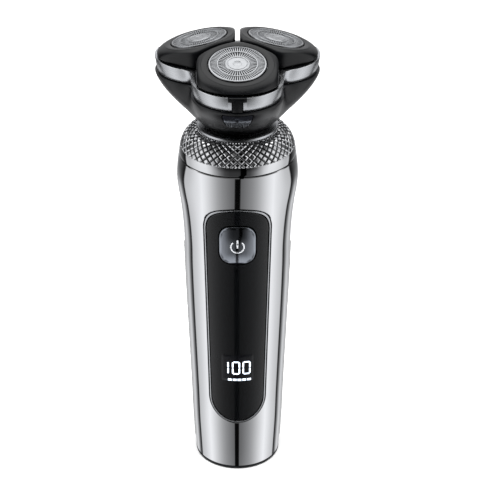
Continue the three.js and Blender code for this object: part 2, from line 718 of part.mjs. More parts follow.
function buildGearTrain() {
  const plateOffset = 0.41 * spindleOffset;
  const plateRadius = spindleOffset + 3.5 - plateOffset;
  const outline = (bottom, top) => lobedForm(
    [[bottom, plateOffset, plateRadius], [top, plateOffset, plateRadius]], valleyRound, 36);
  const plateBottom = plateTop - plateThickness;
  const postWay = (from, to) => valleys.map((angle) => rod(1.0 + gap, [from, to], 8,
    inLobe(angle, postOffset)));
  const spindles = Object.values(lobes).map((angle) => inLobe(angle, spindleOffset));
  const plate = cut(outline(plateBottom, plateTop), rod(4.2 + runningGap, [100, 200], 20),
    ...spindles.map((place) => rod(1.2 + runningGap, [plateBottom - 1, plateTop + 1], 10, place)),
    ...postWay(plateBottom - 1, plateTop + 1));
  piece(shaver, 'drive_plate', plate, whitePlastic);

  const pillars = valleys.map((angle) => rod(2.0, [plateTop + gap, coverTop - 0.2], 10,
    inLobe(angle, postOffset)));
  const cover = cut(join(outline(coverBottom, coverTop), ...pillars),
    rod(1.5 + runningGap, [coverBottom - 1, coverTop + 1], 12),
    ...spindles.map((place) => rod(1.8 + runningGap, [coverBottom - 1, coverTop + 1], 12, place)),
    ...postWay(plateTop, coverTop + 1));
  piece(shaver, 'gear_cover', cover, whitePlastic);
  ['rear', 'left', 'right'].forEach((side, index) => {
    const place = inLobe(Math.PI / 2 + (index * 2 * Math.PI) / 3, postOffset);
    const screw = join(
      rod(screwRadius, [plateBottom - 4, coverTop + gap + 0.1], 8, place),
      rod(1.7, [coverTop + gap, coverTop + gap + 0.8], 12, place),
    );
    piece(shaver, `cover_screw_${side}`, screw, steel);
  });

  const sun = join(
    upwards(gearOutline(sunTeeth), gearBottom, gearTop),
    rod(4.2, [collarTop - 1.1, gearBottom + 0.5], 20),
    rod(1.5, [gearTop - 0.5, coverTop], 12),
  );
  const socket = rod(hexRadius + runningGap, [collarTop - 2, headBottom + 3.1], 6);
  piece(shaver, 'central_gear', cut(sun, socket), whitePlastic);

  const tipTop = faceHeight - (bladeDepth - 0.95) * Math.cos(cutterTilt);
  for (const [side, angle] of Object.entries(lobes)) {
    const planet = join(
      upwards(gearOutline(planetTeeth), gearBottom, gearTop),
      rod(1.2, [plateBottom + 0.2, gearBottom + 0.5], 10),
      rod(1.8, [gearTop - 0.5, frameTop - 0.9], 12),
      rod(1.4, [frameTop - 1.2, tipTop], 10),
    );
    const place = new THREE.Group();
    place.rotation.z = angle;
    const seat = new THREE.Group();
    seat.position.x = spindleOffset;
    place.add(seat);
    shaver.add(place);
    piece(seat, `drive_gear_${side}`, planet, whitePlastic);
  }
}

function buildHeadFrame() {
  const outline = lobedForm([[frameBottom, lobeOffset, frameRadius], [frameTop, lobeOffset, frameRadius]]);
  const chambers = Object.values(lobes).map(
    (angle) => rod(chamberRadius, [frameBottom - 1, frameTop + 1], 28, inLobe(angle, lobeOffset)));
  const hub = rod(lobeOffset - 1, [frameTop - 0.9, frameTop + 1], 24);
  const ear = cut(
    join(
      block([-2.2, 2.2], [lobeOffset - 4, hingeReach], [hingeHeight - 1.5, hingeHeight + 1.5]),
      rodAlongX(1.6, [-2.2, 2.2], [hingeReach, hingeHeight]),
    ),
    rodAlongX(hingePinRadius + runningGap, [-3, 3], [hingeReach, hingeHeight]),
  );
  const tip = lobeOffset + chamberRadius;
  const tongue = join(
    block([-2.4, 2.4], [-tip - 1.0, -tip + 2.4], [frameBottom, frameBottom + 1.5]),
    block([-2.4, 2.4], [-tip + 1.3, -tip + 2.4], [frameBottom - 2.9, frameBottom + 1.5]),
  );
  const stops = Object.values(lobes).map((angle) => {
    const reach = lobeOffset + lobeRadius - 0.2;
    const bars = [[trimBreak, frameTop], [trimBreakTop, frameTop]].map(([width, top], step) => {
      const side = width / 2 - gap;
      const low = step === 0 ? frameBottom : trimStep + gap;
      const bar = new THREE.BoxGeometry(2.4, 2 * side, top - low);
      return solid(bar.translate(reach - 1.2, 0, (low + top) / 2).rotateZ(angle));
    });
    return join(...bars);
  });
  const bearings = Object.values(lobes).map((angle) => {
    const way = new THREE.CylinderGeometry(1.0 + runningGap, 1.0 + runningGap, 2 * frameRadius, 10);
    return solid(way.translate(lobeOffset - pivotInset, 0, pivotHeight).rotateZ(angle));
  });
  const body = cut(
    join(cut(outline, ...chambers, hub), ear, tongue, ...stops),
    ...bearings,
  );
  piece(shaver, 'head_frame', body, glossBlack);

  const band = [frameBottom, frameTop + 0.1];
  const trimRing = cut(
    lobedForm([[band[0], lobeOffset, lobeRadius], [band[1], lobeOffset, lobeRadius]]),
    lobedForm([[band[0] - 1, lobeOffset, lobeRadius - trimThickness],
      [band[1] + 1, lobeOffset, lobeRadius - trimThickness]]),
  );
  const breaks = Object.values(lobes).map((angle) => {
    const lower = new THREE.BoxGeometry(6, trimBreak, 20);
    const upper = new THREE.BoxGeometry(6, trimBreakTop, 20);
    const reach = lobeOffset + lobeRadius;
    return join(
      solid(lower.translate(reach, 0, frameBottom).rotateZ(angle)),
      solid(upper.translate(reach, 0, trimStep + 10).rotateZ(angle)),
    );
  });
  const earWay = block([-2.2 - 0.4, 2.2 + 0.4], [0, 40], [0, hingeHeight + 1.9]);
  ['rear', 'left', 'right'].forEach((side, index) => {
    const middle = Math.PI / 2 + (index * 2 * Math.PI) / 3;
    const wedge = new THREE.Shape();
    wedge.moveTo(0, 0);
    for (const turn of [-1, -0.5, 0, 0.5, 1]) {
      wedge.lineTo(80 * Math.cos(middle + turn * sixty), 80 * Math.sin(middle + turn * sixty));
    }
    wedge.closePath();
    const strip = cut(common(trimRing, upwards(wedge, frameBottom - 5, frameTop + 5)), ...breaks);
    piece(shaver, `trim_band_${side}`, index === 0 ? cut(strip, earWay) : strip, satinChrome);
  });
}

// In a lobe's own frame +X points outwards and the tilted cutter axis starts at the face.
function tilted(profile, segments) {
  const points = profile.map(([radius, height]) => new THREE.Vector2(radius, height));
  const geometry = new THREE.LatheGeometry(points, segments).rotateX(Math.PI / 2);
  return solid(geometry.rotateY(cutterTilt).translate(faceOffset, 0, faceHeight));
}

function podSolid() {
  const flangeWay = guardRadius + guardFlange + gap;
  const shoulder = [];
  for (let step = 0; step <= 3; step += 1) {
    const turn = (step / 3) * (Math.PI / 2);
    shoulder.push([rimRadius + 4.2 * Math.sin(turn), -3.4 * (1 - Math.cos(turn))]);
  }
  const dome = tilted([[0, -20], [rimRadius + 4.2, -20], ...shoulder.reverse(), [0, 0]], 24);
  const bore = tilted([[0, -24], [flangeWay, -24], [flangeWay, -1.9], [guardRadius + gap, -1.9],
    [guardRadius + gap, 4], [0, 4]], 22);
  const lobe = rod(podRadius, [podBottom, faceHeight + 12], 30, [lobeOffset, 0]);
  const side = podGap / 2 / Math.sin(sixty);
  const sector = new THREE.Shape();
  sector.moveTo(side, 0);
  sector.lineTo(side + 40, -40 * Math.tan(sixty));
  sector.lineTo(side + 40, 40 * Math.tan(sixty));
  sector.closePath();
  const petal = common(dome, lobe, upwards(sector, podBottom - 1, faceHeight + 13));
  const pivotX = lobeOffset - pivotInset;
  const lugHalf = 1.6;
  const wall = Math.sqrt(chamberRadius ** 2 - (pivotInset + lugHalf) ** 2);
  const lugs = [-1, 1].map((hand) => {
    const [near, far] = [hand * (wall - 1.3), hand * (wall - 0.4)].sort((a, b) => a - b);
    const [root, end] = [hand * (wall - 0.8), hand * (wall + 1.6)].sort((a, b) => a - b);
    return join(
      block([pivotX - lugHalf, pivotX + lugHalf], [near, far], [pivotHeight, podBottom + 0.8]),
      rodAlongY(lugHalf, [near, far], [pivotX, pivotHeight], 10),
      rodAlongY(1.0, [root, end], [pivotX, pivotHeight], 8),
    );
  });
  return join(cut(petal, bore), ...lugs);
}

function buildCutters() {
  const guard = tilted([
    [0, -0.4], [guardRadius - 0.6, -0.4], [guardRadius - 0.6, -3.0], [guardRadius + guardFlange, -3.0],
    [guardRadius + guardFlange, -2.2], [guardRadius, -2.2], [guardRadius, 0.0], [guardRadius - 0.3, 0.2],
    [0, 0.2],
  ], 22);
  const retainer = tilted([
    [guardRadius - 0.5, -4.3], [guardRadius + guardFlange, -4.3], [guardRadius + guardFlange, -3.3],
    [guardRadius - 0.5, -3.3], [guardRadius - 0.5, -4.3],
  ], 20);
  const blade = guardRadius - 1.6;
  const cutter = tilted([
    [0, -3.5], [2.3, -3.5], [2.3, -bladeDepth], [3.4, -bladeDepth], [3.4, -2.8], [blade, -2.8],
    [blade, -0.8], [blade - 1.1, -0.8], [blade - 1.1, -2.0], [blade - 2.8, -2.0], [blade - 2.8, -0.8],
    [blade - 3.9, -0.8], [blade - 3.9, -2.0], [0, -2.0],
  ], 16);
  const pod = podSolid();
  for (const [side, angle] of Object.entries(lobes)) {
    const place = new THREE.Group();
    place.rotation.z = angle;
    shaver.add(place);
    piece(place, `cutter_pod_${side}`, pod, glossBlack);
    piece(place, `cutter_guard_${side}`, guard, steel);
    piece(place, `cutter_retainer_${side}`, retainer, whitePlastic);
    piece(place, `inner_cutter_${side}`, cutter, steel);
  }
}

buildShells();
const footPlace = buildBase();
buildPanel();
buildElectronics();
buildChassis(footPlace);
buildMotor();
buildDrive();
buildShoulder();
buildHeadBase();
buildGearTrain();
buildHeadFrame();
buildCutters();

export default shaver;
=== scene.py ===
import math

import bpy
from mathutils import Matrix, Vector


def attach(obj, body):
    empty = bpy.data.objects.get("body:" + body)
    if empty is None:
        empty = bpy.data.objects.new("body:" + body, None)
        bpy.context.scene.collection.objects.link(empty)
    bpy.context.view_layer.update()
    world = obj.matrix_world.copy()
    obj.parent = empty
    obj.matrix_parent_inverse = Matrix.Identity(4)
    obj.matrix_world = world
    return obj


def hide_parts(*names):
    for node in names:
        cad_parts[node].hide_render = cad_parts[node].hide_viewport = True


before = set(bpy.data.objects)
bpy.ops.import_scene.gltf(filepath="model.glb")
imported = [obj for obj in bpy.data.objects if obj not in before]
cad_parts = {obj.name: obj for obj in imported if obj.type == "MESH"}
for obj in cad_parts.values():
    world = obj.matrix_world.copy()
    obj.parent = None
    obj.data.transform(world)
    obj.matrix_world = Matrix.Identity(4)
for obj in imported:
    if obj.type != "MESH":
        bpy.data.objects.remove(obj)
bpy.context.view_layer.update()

bl_info = {
    "name": "Rotary shaver",
    "version": (1, 0, 0),
    "blender": (4, 5, 0),
    "location": "View3D > Sidebar > Shaver",
    "description": "Models the visible pieces of a cordless rotary shaver round its CAD frame",
    "category": "Object",
}

MM = 0.001
FULL_TURN = 2 * math.pi
SIXTY = math.pi / 3

# ------------------------------------------------------------------ sizes of the frame, in mm
GAP = 0.3
SHOULDER_EDGE = 130.5
HANDLE_RADIUS = 19.7
SHELL = 1.8
SEAM = 1.0                  # the seam of the two shells lies behind the middle
SHELL_BOTTOM = 1.3          # the plating ends just above the foot
# Share of the handle's height, share of its radius.
HANDLE_OUTLINE = (
    (0.0, 0.832), (0.12, 0.87), (0.24, 0.895), (0.47, 0.952), (0.66, 0.993), (0.745, 1.004),
    (0.81, 1.028), (0.86, 1.062), (0.9, 1.1), (0.935, 1.119), (0.967, 1.108), (1.0, 1.081),
)
FLARE_FROM, FLARE_FULL = 42, 86      # degrees from the front at which the sides flare out
PANEL_TOP = 116.9
PANEL_BOTTOM = 23.9
PANEL_TOP_HALF = 11.2
PANEL_BOTTOM_HALF = 9.7
BUTTON_WIDTH, BUTTON_HEIGHT, BUTTON_CORNER, BUTTON_MIDDLE = 13.3, 15.6, 5.6, 102.9
BUTTON_GAP, FLANGE_WIDTH = 0.35, 1.1
DISPLAY_SIDE, DISPLAY_MIDDLE = 12.0, 48.7
DIGIT_WIDTH, DIGIT_HEIGHT = 2.5, 5.4
GRIP_BOTTOM, GRIP_TOP = 4.0, 93.0
COLLAR_BOTTOM, COLLAR_RISE = 130.8, 10.1
COLLAR_OUTER, COLLAR_INNER = 21.12, 14.4
LOBE_OFFSET = 15.502
LOBE_RADIUS = 16.0
NECK_RADIUS = 11.4
FUNNEL_BOTTOM, FUNNEL_HEIGHT = 143.0, 17.0
HEAD_RIM = 160.0
FRAME_BOTTOM, FRAME_TOP = 160.3, 165.5
POD_BOTTOM = 166.1
POD_RADIUS = 15.6
POD_HALF_WIDTH = 14.2
FACE_OFFSET, FACE_HEIGHT = 15.702, 171.3
CUTTER_TILT = math.radians(13.5)
RIM_RADIUS = 12.6
GUARD_RADIUS = 10.0
CHAMBER_RADIUS = 13.125     # bore of the frame round each pod
POD_SIDE = 1.65 / 2 / math.sin(SIXTY)
VALLEY_ROUND, VALLEY_OPENING = 3.0, 7.0
LATCH_MIDDLE = 154.6
HINGE_REACH, HINGE_HEIGHT = 24.301, 161.9
KNUCKLE_RADIUS = 1.6
BREAK_WIDTH, STEP_WIDTH = 4.0, 6.3   # gap between two trim bands, below and above its step
TRIM_STEP = FRAME_TOP - 1.56
LOBES = {"front": -math.pi / 2, "right": math.pi / 6, "left": 5 * math.pi / 6}


class ShaverSizes(bpy.types.PropertyGroup):
    """Sizes that a user would change."""
    knurl_count: bpy.props.IntProperty(
        name="Knurls around", description="Diamonds in one row of the knurled collar", default=44)
    knurl_rows: bpy.props.IntProperty(
        name="Knurl rows", description="Half rows of diamonds up the collar", default=8)
    knurl_depth: bpy.props.FloatProperty(
        name="Knurl depth", description="Depth of the grooves between the diamonds",
        default=0.3 * MM, unit="LENGTH")
    outer_slots: bpy.props.IntProperty(
        name="Outer slots", description="Slots in the outer track of a cutter guard", default=72)
    inner_slots: bpy.props.IntProperty(
        name="Inner slots", description="Slots in the inner track of a cutter guard", default=44)
    rib_pitch: bpy.props.FloatProperty(
        name="Rib pitch", description="Distance between two ribs of the rear grip",
        default=4.0 * MM, unit="LENGTH")
    rib_depth: bpy.props.FloatProperty(
        name="Rib depth", description="Depth of the channels between the ribs",
        default=0.35 * MM, unit="LENGTH")


def linear(text):
    """A hex sRGB colour as linear red, green, blue and alpha."""
    levels = [int(text[place:place + 2], 16) / 255 for place in (0, 2, 4)]
    return tuple(
        level / 12.92 if level <= 0.04045 else ((level + 0.055) / 1.055) ** 2.4 for level in levels
    ) + (1.0,)


def colour_property(title, text, default):
    return bpy.props.FloatVectorProperty(
        name=title, description=text, subtype="COLOR", size=4, min=0, max=1,
        default=linear(default))


class ShaverColours(bpy.types.PropertyGroup):
    """Colours that a user would change."""
    chrome: colour_property("Chrome", "Polished plating of the shell and the collar", "F4F5F7")
    satin: colour_property("Satin chrome", "Trim bands, neck ring and panel bezel", "D9DBDE")
    smoked: colour_property("Black chrome", "Power button and release tab", "A2A7AF")
    black: colour_property("Gloss black", "Panel, head and pods", "08090B")
    lamp: colour_property("Display", "Lit digits of the charge display", "E4F0FF")
    floor: colour_property("Floor", "Matt floor under the shaver", "F7F7F7")


# ------------------------------------------------------------------ outlines
def spline(points, steps):
    """Points along a smooth curve through the given ones."""
    found = []
    last = len(points) - 1
    for index in range(last):
        before, here = points[max(index - 1, 0)], points[index]
        there, after = points[index + 1], points[min(index + 2, last)]
        for step in range(steps):
            t = step / steps
            place = []
            for a, b, c, d in zip(before, here, there, after):
                v0, v1 = (c - a) / 2, (d - b) / 2
                place.append((2 * b - 2 * c + v0 + v1) * t ** 3
                             + (3 * c - 3 * b - 2 * v0 - v1) * t ** 2 + v0 * t + b)
            found.append(tuple(place))
    return found + [tuple(points[last])]


HANDLE_SIDE = spline(
    [(level * SHOULDER_EDGE, share * HANDLE_RADIUS) for level, share in HANDLE_OUTLINE], 40)
# The front runs straight up from the waist to the shoulder; only the sides and back flare.
HANDLE_FRONT = spline(
    [(level * SHOULDER_EDGE, share * HANDLE_RADIUS)
     for level, share in HANDLE_OUTLINE[:5] + ((0.83, 1.038), (1.0, 1.081))], 40)


def outline_radius(outline, height):
    for (low, first), (high, second) in zip(outline, outline[1:]):
        if height <= high:
            return first + (second - first) * max(height - low, 0) / (high - low)
    return outline[-1][1]


def handle_radius(height):
    return outline_radius(HANDLE_FRONT, height)


def on_handle(x, z, offset=0.0):
    """The point at this place on the front of the handle, moved outwards by the offset."""
    reach = handle_radius(z) + offset
    return (x, -math.sqrt(max(reach * reach - x * x, 0.01)), z)


def bezier(a, b, c, d, steps):
    points = []
    for step in range(steps):
        t = step / steps
        weights = ((1 - t) ** 3, 3 * t * (1 - t) ** 2, 3 * t * t * (1 - t), t ** 3)
        points.append(tuple(
            sum(w * p[axis] for w, p in zip(weights, (a, b, c, d))) for axis in (0, 1)))
    return points


def straight(a, b, steps):
    return [
        (a[0] + (b[0] - a[0]) * step / steps, a[1] + (b[1] - a[1]) * step / steps)
        for step in range(steps)]


def panel_outline(grow):
    """The control panel seen from the front: a round bottom and a flattened arch on top."""
    low, half = PANEL_BOTTOM_HALF + grow, PANEL_TOP_HALF + grow
    top = PANEL_TOP + grow
    centre = PANEL_BOTTOM + PANEL_BOTTOM_HALF
    corner = 0.62 * PANEL_TOP_HALF
    spring = top - corner * 1.35
    turns = [math.pi + math.pi * step / 48 for step in range(48)]
    points = [(low * math.cos(turn), centre + low * math.sin(turn)) for turn in turns]
    points += straight((low, centre), (half, spring), 60)
    points += bezier((half, spring), (half, top - corner * 0.45), (half - corner * 0.4, top - 0.7),
                     (0, top), 32)
    points += bezier((0, top), (corner * 0.4 - half, top - 0.7), (-half, top - corner * 0.45),
                     (-half, spring), 32)
    points += straight((-half, spring), (-low, centre), 60)
    return points


def dense(points, longest=0.7):
    """The same outline with long straight edges divided, so that it can follow a curved wall."""
    found = []
    for here, there in zip(points, points[1:] + points[:1]):
        found += straight(here, there, max(math.ceil(math.dist(here, there) / longest), 1))
    return found


def soft_rectangle(width, height, corner, middle, steps=14):
    """A rectangle whose corners are drawn with one soft curve each."""
    x, z = width / 2, height / 2
    corners = []
    for turn in range(4):
        across, up = ((x, z), (-x, z), (-x, -z), (x, -z))[turn]
        reach_x = across - math.copysign(corner, across)
        reach_z = up - math.copysign(corner, up)
        start, end = ((across, reach_z), (reach_x, up))
        if turn % 2:
            start, end = end, start
        third = [(s + 2 * c) / 3 for s, c in zip(start, (across, up))]
        other = [(e + 2 * c) / 3 for e, c in zip(end, (across, up))]
        corners.append(bezier(start, third, other, end, steps) + [end])
    points = []
    for this, following in zip(corners, corners[1:] + corners[:1]):
        points += this[:-1] + straight(this[-1], following[0], 24)
    return [(px, pz + middle) for px, pz in points]


def lobed_radius(angle, offset, radius):
    """Distance from the axis to three round lobes; their valleys open up as they spread."""
    fillet = VALLEY_ROUND + VALLEY_OPENING * offset / LOBE_OFFSET
    reaches = []
    for lobe in LOBES.values():
        side = offset * math.sin(angle - lobe)
        reaches.append(offset * math.cos(angle - lobe)
                       + math.sqrt(max(radius * radius - side * side, 0)))
    reaches.sort(reverse=True)
    nearness = max(fillet - (reaches[0] - reaches[1]), 0) / fillet
    return reaches[0] + nearness * nearness * fillet / 4


def lobed_ring(height, offset, radius, count=240):
    ring = []
    for index in range(count):
        angle = FULL_TURN * index / count
        reach = lobed_radius(angle, offset, radius)
        ring.append((reach * math.cos(angle), reach * math.sin(angle), height))
    return ring


def round_ring(height, radius, count=240):
    turns = [FULL_TURN * index / count for index in range(count)]
    return [(radius * math.cos(turn), radius * math.sin(turn), height) for turn in turns]


def funnel(height):
    """Offset and radius of the head's lobes at this height."""
    left = 1 - min(max((height - FUNNEL_BOTTOM) / FUNNEL_HEIGHT, 0), 1)
    return (LOBE_OFFSET * (1 - left ** 1.4),
            NECK_RADIUS + (LOBE_RADIUS - NECK_RADIUS) * (1 - left ** 1.8))


# ------------------------------------------------------------------ modelling
def clear_selection():
    if bpy.context.object and bpy.context.object.mode != "OBJECT":
        bpy.ops.object.mode_set(mode="OBJECT")
    bpy.ops.object.select_all(action="DESELECT")


def choose(piece):
    clear_selection()
    piece.select_set(True)
    bpy.context.view_layer.objects.active = piece


def new_piece(name):
    """Names the primitive just added and applies its place to its mesh."""
    piece = bpy.context.object
    piece.name = piece.data.name = name
    bpy.ops.object.transform_apply(location=True, rotation=True, scale=True)
    return piece


def edit_all():
    """Enters edit mode on the active piece with everything selected."""
    bpy.ops.object.mode_set(mode="EDIT")
    bpy.ops.mesh.select_all(action="SELECT")


def close_up(piece, merge=2e-7):
    """Merges doubles, closes open rings and turns all faces outwards."""
    choose(piece)
    edit_all()
    bpy.ops.mesh.remove_doubles(threshold=merge)
    bpy.ops.mesh.fill_holes(sides=0)
    bpy.ops.mesh.select_all(action="SELECT")
    bpy.ops.mesh.normals_make_consistent(inside=False)
    bpy.ops.object.mode_set(mode="OBJECT")
    return piece


def lathe(name, profile, segments=192):
    """Extrudes a circle from point to point of a profile of (radius, height)."""
    clear_selection()
    radius, height = profile[0]
    bpy.ops.mesh.primitive_circle_add(
        vertices=segments, radius=radius * MM, location=(0, 0, height * MM))
    piece = new_piece(name)
    edit_all()
    for (near, low), (far, high) in zip(profile, profile[1:]):
        bpy.ops.mesh.extrude_region_move(
            TRANSFORM_OT_translate={"value": (0, 0, (high - low) * MM)})
        bpy.ops.transform.resize(
            value=(far / near, far / near, 1), center_override=(0, 0, high * MM))
    bpy.ops.object.mode_set(mode="OBJECT")
    return close_up(piece, 1e-6)


def loft(name, rings, closed=False):
    """Lays the rows of a grid on rings of points, and closes it at both ends or into a loop."""
    rows = rings + [rings[0]] if closed else rings
    across = len(rings[0])
    clear_selection()
    bpy.ops.mesh.primitive_grid_add(
        x_subdivisions=across, y_subdivisions=len(rows) - 1, size=FACE_HEIGHT * MM)
    piece = new_piece(name)
    for vertex in piece.data.vertices:
        row, column = divmod(vertex.index, across + 1)
        vertex.co = Vector(rows[row][column % across]) * MM
    return close_up(piece)


def block(name, x, y, z, bevel=0.0):
    """A box between limits, with its edges rounded."""
    clear_selection()
    limits = (x, y, z)
    bpy.ops.mesh.primitive_cube_add(
        size=MM, location=[(low + high) / 2 * MM for low, high in limits],
        scale=[high - low for low, high in limits])
    piece = new_piece(name)
    if bevel:
        edit_all()
        bpy.ops.mesh.bevel(offset=bevel * MM, segments=2, affect="EDGES")
        bpy.ops.object.mode_set(mode="OBJECT")
    return piece


def pin(name, radius, ends, place, axis="X", segments=32):
    """A short bar along X or Z."""
    clear_selection()
    middle, length = (ends[0] + ends[1]) / 2, ends[1] - ends[0]
    spot = (middle, place[0], place[1]) if axis == "X" else (place[0], place[1], middle)
    turn = (0, math.pi / 2, 0) if axis == "X" else (0, 0, 0)
    bpy.ops.mesh.primitive_cylinder_add(
        vertices=segments, radius=radius * MM, depth=length * MM,
        location=[value * MM for value in spot], rotation=turn)
    return new_piece(name)


def carve(piece, tool, operation="DIFFERENCE"):
    """Cuts, keeps or adds the tool's solid, and removes the tool."""
    choose(piece)
    change = piece.modifiers.new("carve", "BOOLEAN")
    change.operation = operation
    change.solver = "EXACT"
    change.object = tool
    bpy.ops.object.modifier_apply(modifier=change.name)
    bpy.data.objects.remove(tool, do_unlink=True)
    return piece


def joined(piece, *others):
    choose(piece)
    for other in others:
        other.select_set(True)
    bpy.ops.object.join()
    return piece


def keep_half(piece, y, front):
    """Keeps what lies in front of or behind a plane across the handle."""
    choose(piece)
    edit_all()
    bpy.ops.mesh.bisect(
        plane_co=(0, y * MM, 0), plane_no=(0, 1, 0), use_fill=True,
        clear_outer=front, clear_inner=not front)
    bpy.ops.object.mode_set(mode="OBJECT")
    return piece


def twin(piece, name, matrix):
    """A copy with its own mesh, moved by the matrix."""
    copy = piece.copy()
    copy.data = piece.data.copy()
    copy.name = copy.data.name = name
    bpy.context.collection.objects.link(copy)
    copy.data.transform(matrix)
    return copy


def copied_round(count):
    """Copies what is selected in edit mode round the axis, count times in all."""
    for _ in range(count - 1):
        bpy.ops.mesh.duplicate()
        bpy.ops.transform.rotate(
            value=FULL_TURN / count, orient_axis="Z", center_override=(0, 0, 0))
    bpy.ops.object.mode_set(mode="OBJECT")


def lobe_place(angle):
    """From a cutter's own axis and face to its place in the head."""
    return (Matrix.Rotation(angle, 4, "Z")
            @ Matrix.Translation((FACE_OFFSET * MM, 0, FACE_HEIGHT * MM))
            @ Matrix.Rotation(CUTTER_TILT, 4, "Y"))


def finished(piece, body, slot, finish, *nodes, angle=28):
    """Smooths the piece, gives it its finish and ties it to the frame."""
    choose(piece)
    bpy.ops.object.shade_smooth_by_angle(angle=math.radians(angle))
    piece.data.materials.clear()
    piece.data.materials.append(finish)
    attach(piece, body)
    if nodes:
        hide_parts(*nodes)
    return piece


def on_each_lobe(piece, name, body, slot, finish, replaced):
    """Puts a copy on each cutter axis, named and tied by side, and removes the pattern."""
    for side, angle in LOBES.items():
        copy = twin(piece, f"{name}_{side}", lobe_place(angle))
        finished(copy, f"{body}_{side}", slot, finish, f"{replaced}_{side}")
    bpy.data.objects.remove(piece, do_unlink=True)
    return {"FINISHED"}


# ------------------------------------------------------------------ finishes
def node(tree, kind, options=None, inputs=None):
    """Adds a node, sets its options and fills its inputs with values or other nodes' outputs."""
    made = tree.nodes.new(kind)
    for key, value in (options or {}).items():
        setattr(made, key, value)
    for key, value in (inputs or {}).items():
        if isinstance(value, bpy.types.NodeSocket):
            tree.links.new(value, made.inputs[key])
        else:
            made.inputs[key].default_value = value
    return made


def surface(name, colour, metallic, roughness, layers, more=None):
    """A principled surface with layers of (pattern, size in mm, stretch, height in mm, tone, haze).

    The pattern's height goes to the bump, its tone darkens the colour and its haze adds roughness.
    """
    finish = bpy.data.materials.get(name)
    if finish:
        return finish
    finish = bpy.data.materials.new(name)
    finish.use_nodes = True
    tree = finish.node_tree
    shader = tree.nodes["Principled BSDF"]
    shader.inputs["Metallic"].default_value = metallic
    for key, value in (more or {}).items():
        shader.inputs[key].default_value = value
    place = node(tree, "ShaderNodeTexCoord").outputs["Object"]
    base, rough, normal = None, roughness, None
    for pattern, size, stretch, height, tone, haze in layers:
        mapped = node(tree, "ShaderNodeMapping", {}, {
            "Vector": place, "Scale": [1 / share for share in stretch]}).outputs[0]
        if pattern == "cells":
            grain = node(tree, "ShaderNodeTexVoronoi", {}, {
                "Vector": mapped, "Scale": 1 / (size * MM)}).outputs["Distance"]
        else:
            grain = node(tree, "ShaderNodeTexNoise", {}, {
                "Vector": mapped, "Scale": 1 / (size * MM), "Detail": 3.0}).outputs["Fac"]
        if tone:
            shade = node(tree, "ShaderNodeMapRange", {}, {
                "Value": grain, "From Min": 0.3, "From Max": 0.7,
                "To Min": 1 - tone, "To Max": 1 + tone}).outputs[0]
            base = node(tree, "ShaderNodeVectorMath", {"operation": "SCALE"}, {
                0: base or colour[:3], "Scale": shade}).outputs[0]
        if haze:
            spread = node(tree, "ShaderNodeMapRange", {}, {
                "Value": grain, "From Min": 0.35, "From Max": 0.75,
                "To Min": 0.0, "To Max": haze}).outputs[0]
            rough = node(tree, "ShaderNodeMath", {"operation": "ADD"}, {
                0: rough, 1: spread}).outputs[0]
        if height:
            entries = {"Height": grain, "Distance": height * MM, "Strength": 1.0}
            if normal:
                entries["Normal"] = normal
            normal = node(tree, "ShaderNodeBump", {}, entries).outputs[0]
    for socket, value in (("Base Color", base or colour), ("Roughness", rough), ("Normal", normal)):
        if isinstance(value, bpy.types.NodeSocket):
            tree.links.new(value, shader.inputs[socket])
        elif value is not None:
            shader.inputs[socket].default_value = value
    return finish


EVEN = (1, 1, 1)


def polished_chrome():
    """Bright chromium plating on moulded ABS, mirror polished. It gives the eye clean black and
    white reflections; long soft ripples and faint finger haze keep them from being perfect."""
    return surface("Polished chrome plating", scene_colours().chrome, 1.0, 0.03, (
        ("cloud", 9.0, EVEN, 0.0035, 0.0, 0.0),
        ("cloud", 16.0, (1, 1, 2), 0.0, 0.015, 0.03),
    ))


def satin_chrome():
    """Satin chromium plating, brushed round the part before plating. Its fine level lines, drawn
    0.12 mm apart so that they show, stretch the highlights upwards."""
    return surface("Satin chrome plating", scene_colours().satin, 1.0, 0.2, (
        ("cloud", 0.12, (30, 30, 1), 0.004, 0.05, 0.1),
        ("cloud", 6.0, EVEN, 0.0, 0.03, 0.05),
    ))


def black_chrome():
    """Black chromium plating on ABS, lightly brushed: dark metal with a soft bright edge."""
    return surface("Black chrome plating", scene_colours().smoked, 1.0, 0.1, (
        ("cloud", 0.15, (1, 30, 30), 0.001, 0.05, 0.05),
        ("cloud", 5.0, EVEN, 0.0, 0.05, 0.04),
    ))


def piano_black():
    """Piano black: black ABS under a clear lacquer. It gives deep black with a sharp pale
    reflection, broken only by a slow lacquer ripple and a trace of dust haze."""
    return surface("Piano black lacquered ABS", scene_colours().black, 0.0, 0.1, (
        ("cloud", 7.0, EVEN, 0.004, 0.0, 0.0),
        ("cloud", 0.5, EVEN, 0.0, 0.15, 0.06),
    ), {"Coat Weight": 0.35, "Coat Roughness": 0.04, "Specular IOR Level": 0.3})


def satin_black():
    """Satin black ABS of the head: the mould's fine texture keeps its highlights soft."""
    return surface("Satin black ABS", scene_colours().black, 0.0, 0.27, (
        ("cloud", 0.25, EVEN, 0.002, 0.1, 0.05),
        ("cloud", 8.0, EVEN, 0.0, 0.0, 0.04),
    ), {"Specular IOR Level": 0.45})


def display_glass():
    """Tinted polycarbonate window over the display, a shade flatter than the panel round it."""
    return surface("Tinted polycarbonate", linear("0B0C10"), 0.0, 0.16, (
        ("cloud", 5.0, EVEN, 0.002, 0.0, 0.03),
        ("cells", 0.25, EVEN, 0.0, 0.2, 0.02),
    ))


def moulded_black():
    """Black ABS from a spark-eroded mould: a fine leathery grain of about 0.3 mm that scatters
    light into a soft grey sheen."""
    return surface("Moulded black ABS", linear("1A1B1D"), 0.0, 0.45, (
        ("cells", 0.3, EVEN, 0.02, 0.12, 0.08),
        ("cloud", 12.0, EVEN, 0.0, 0.08, 0.05),
    ))


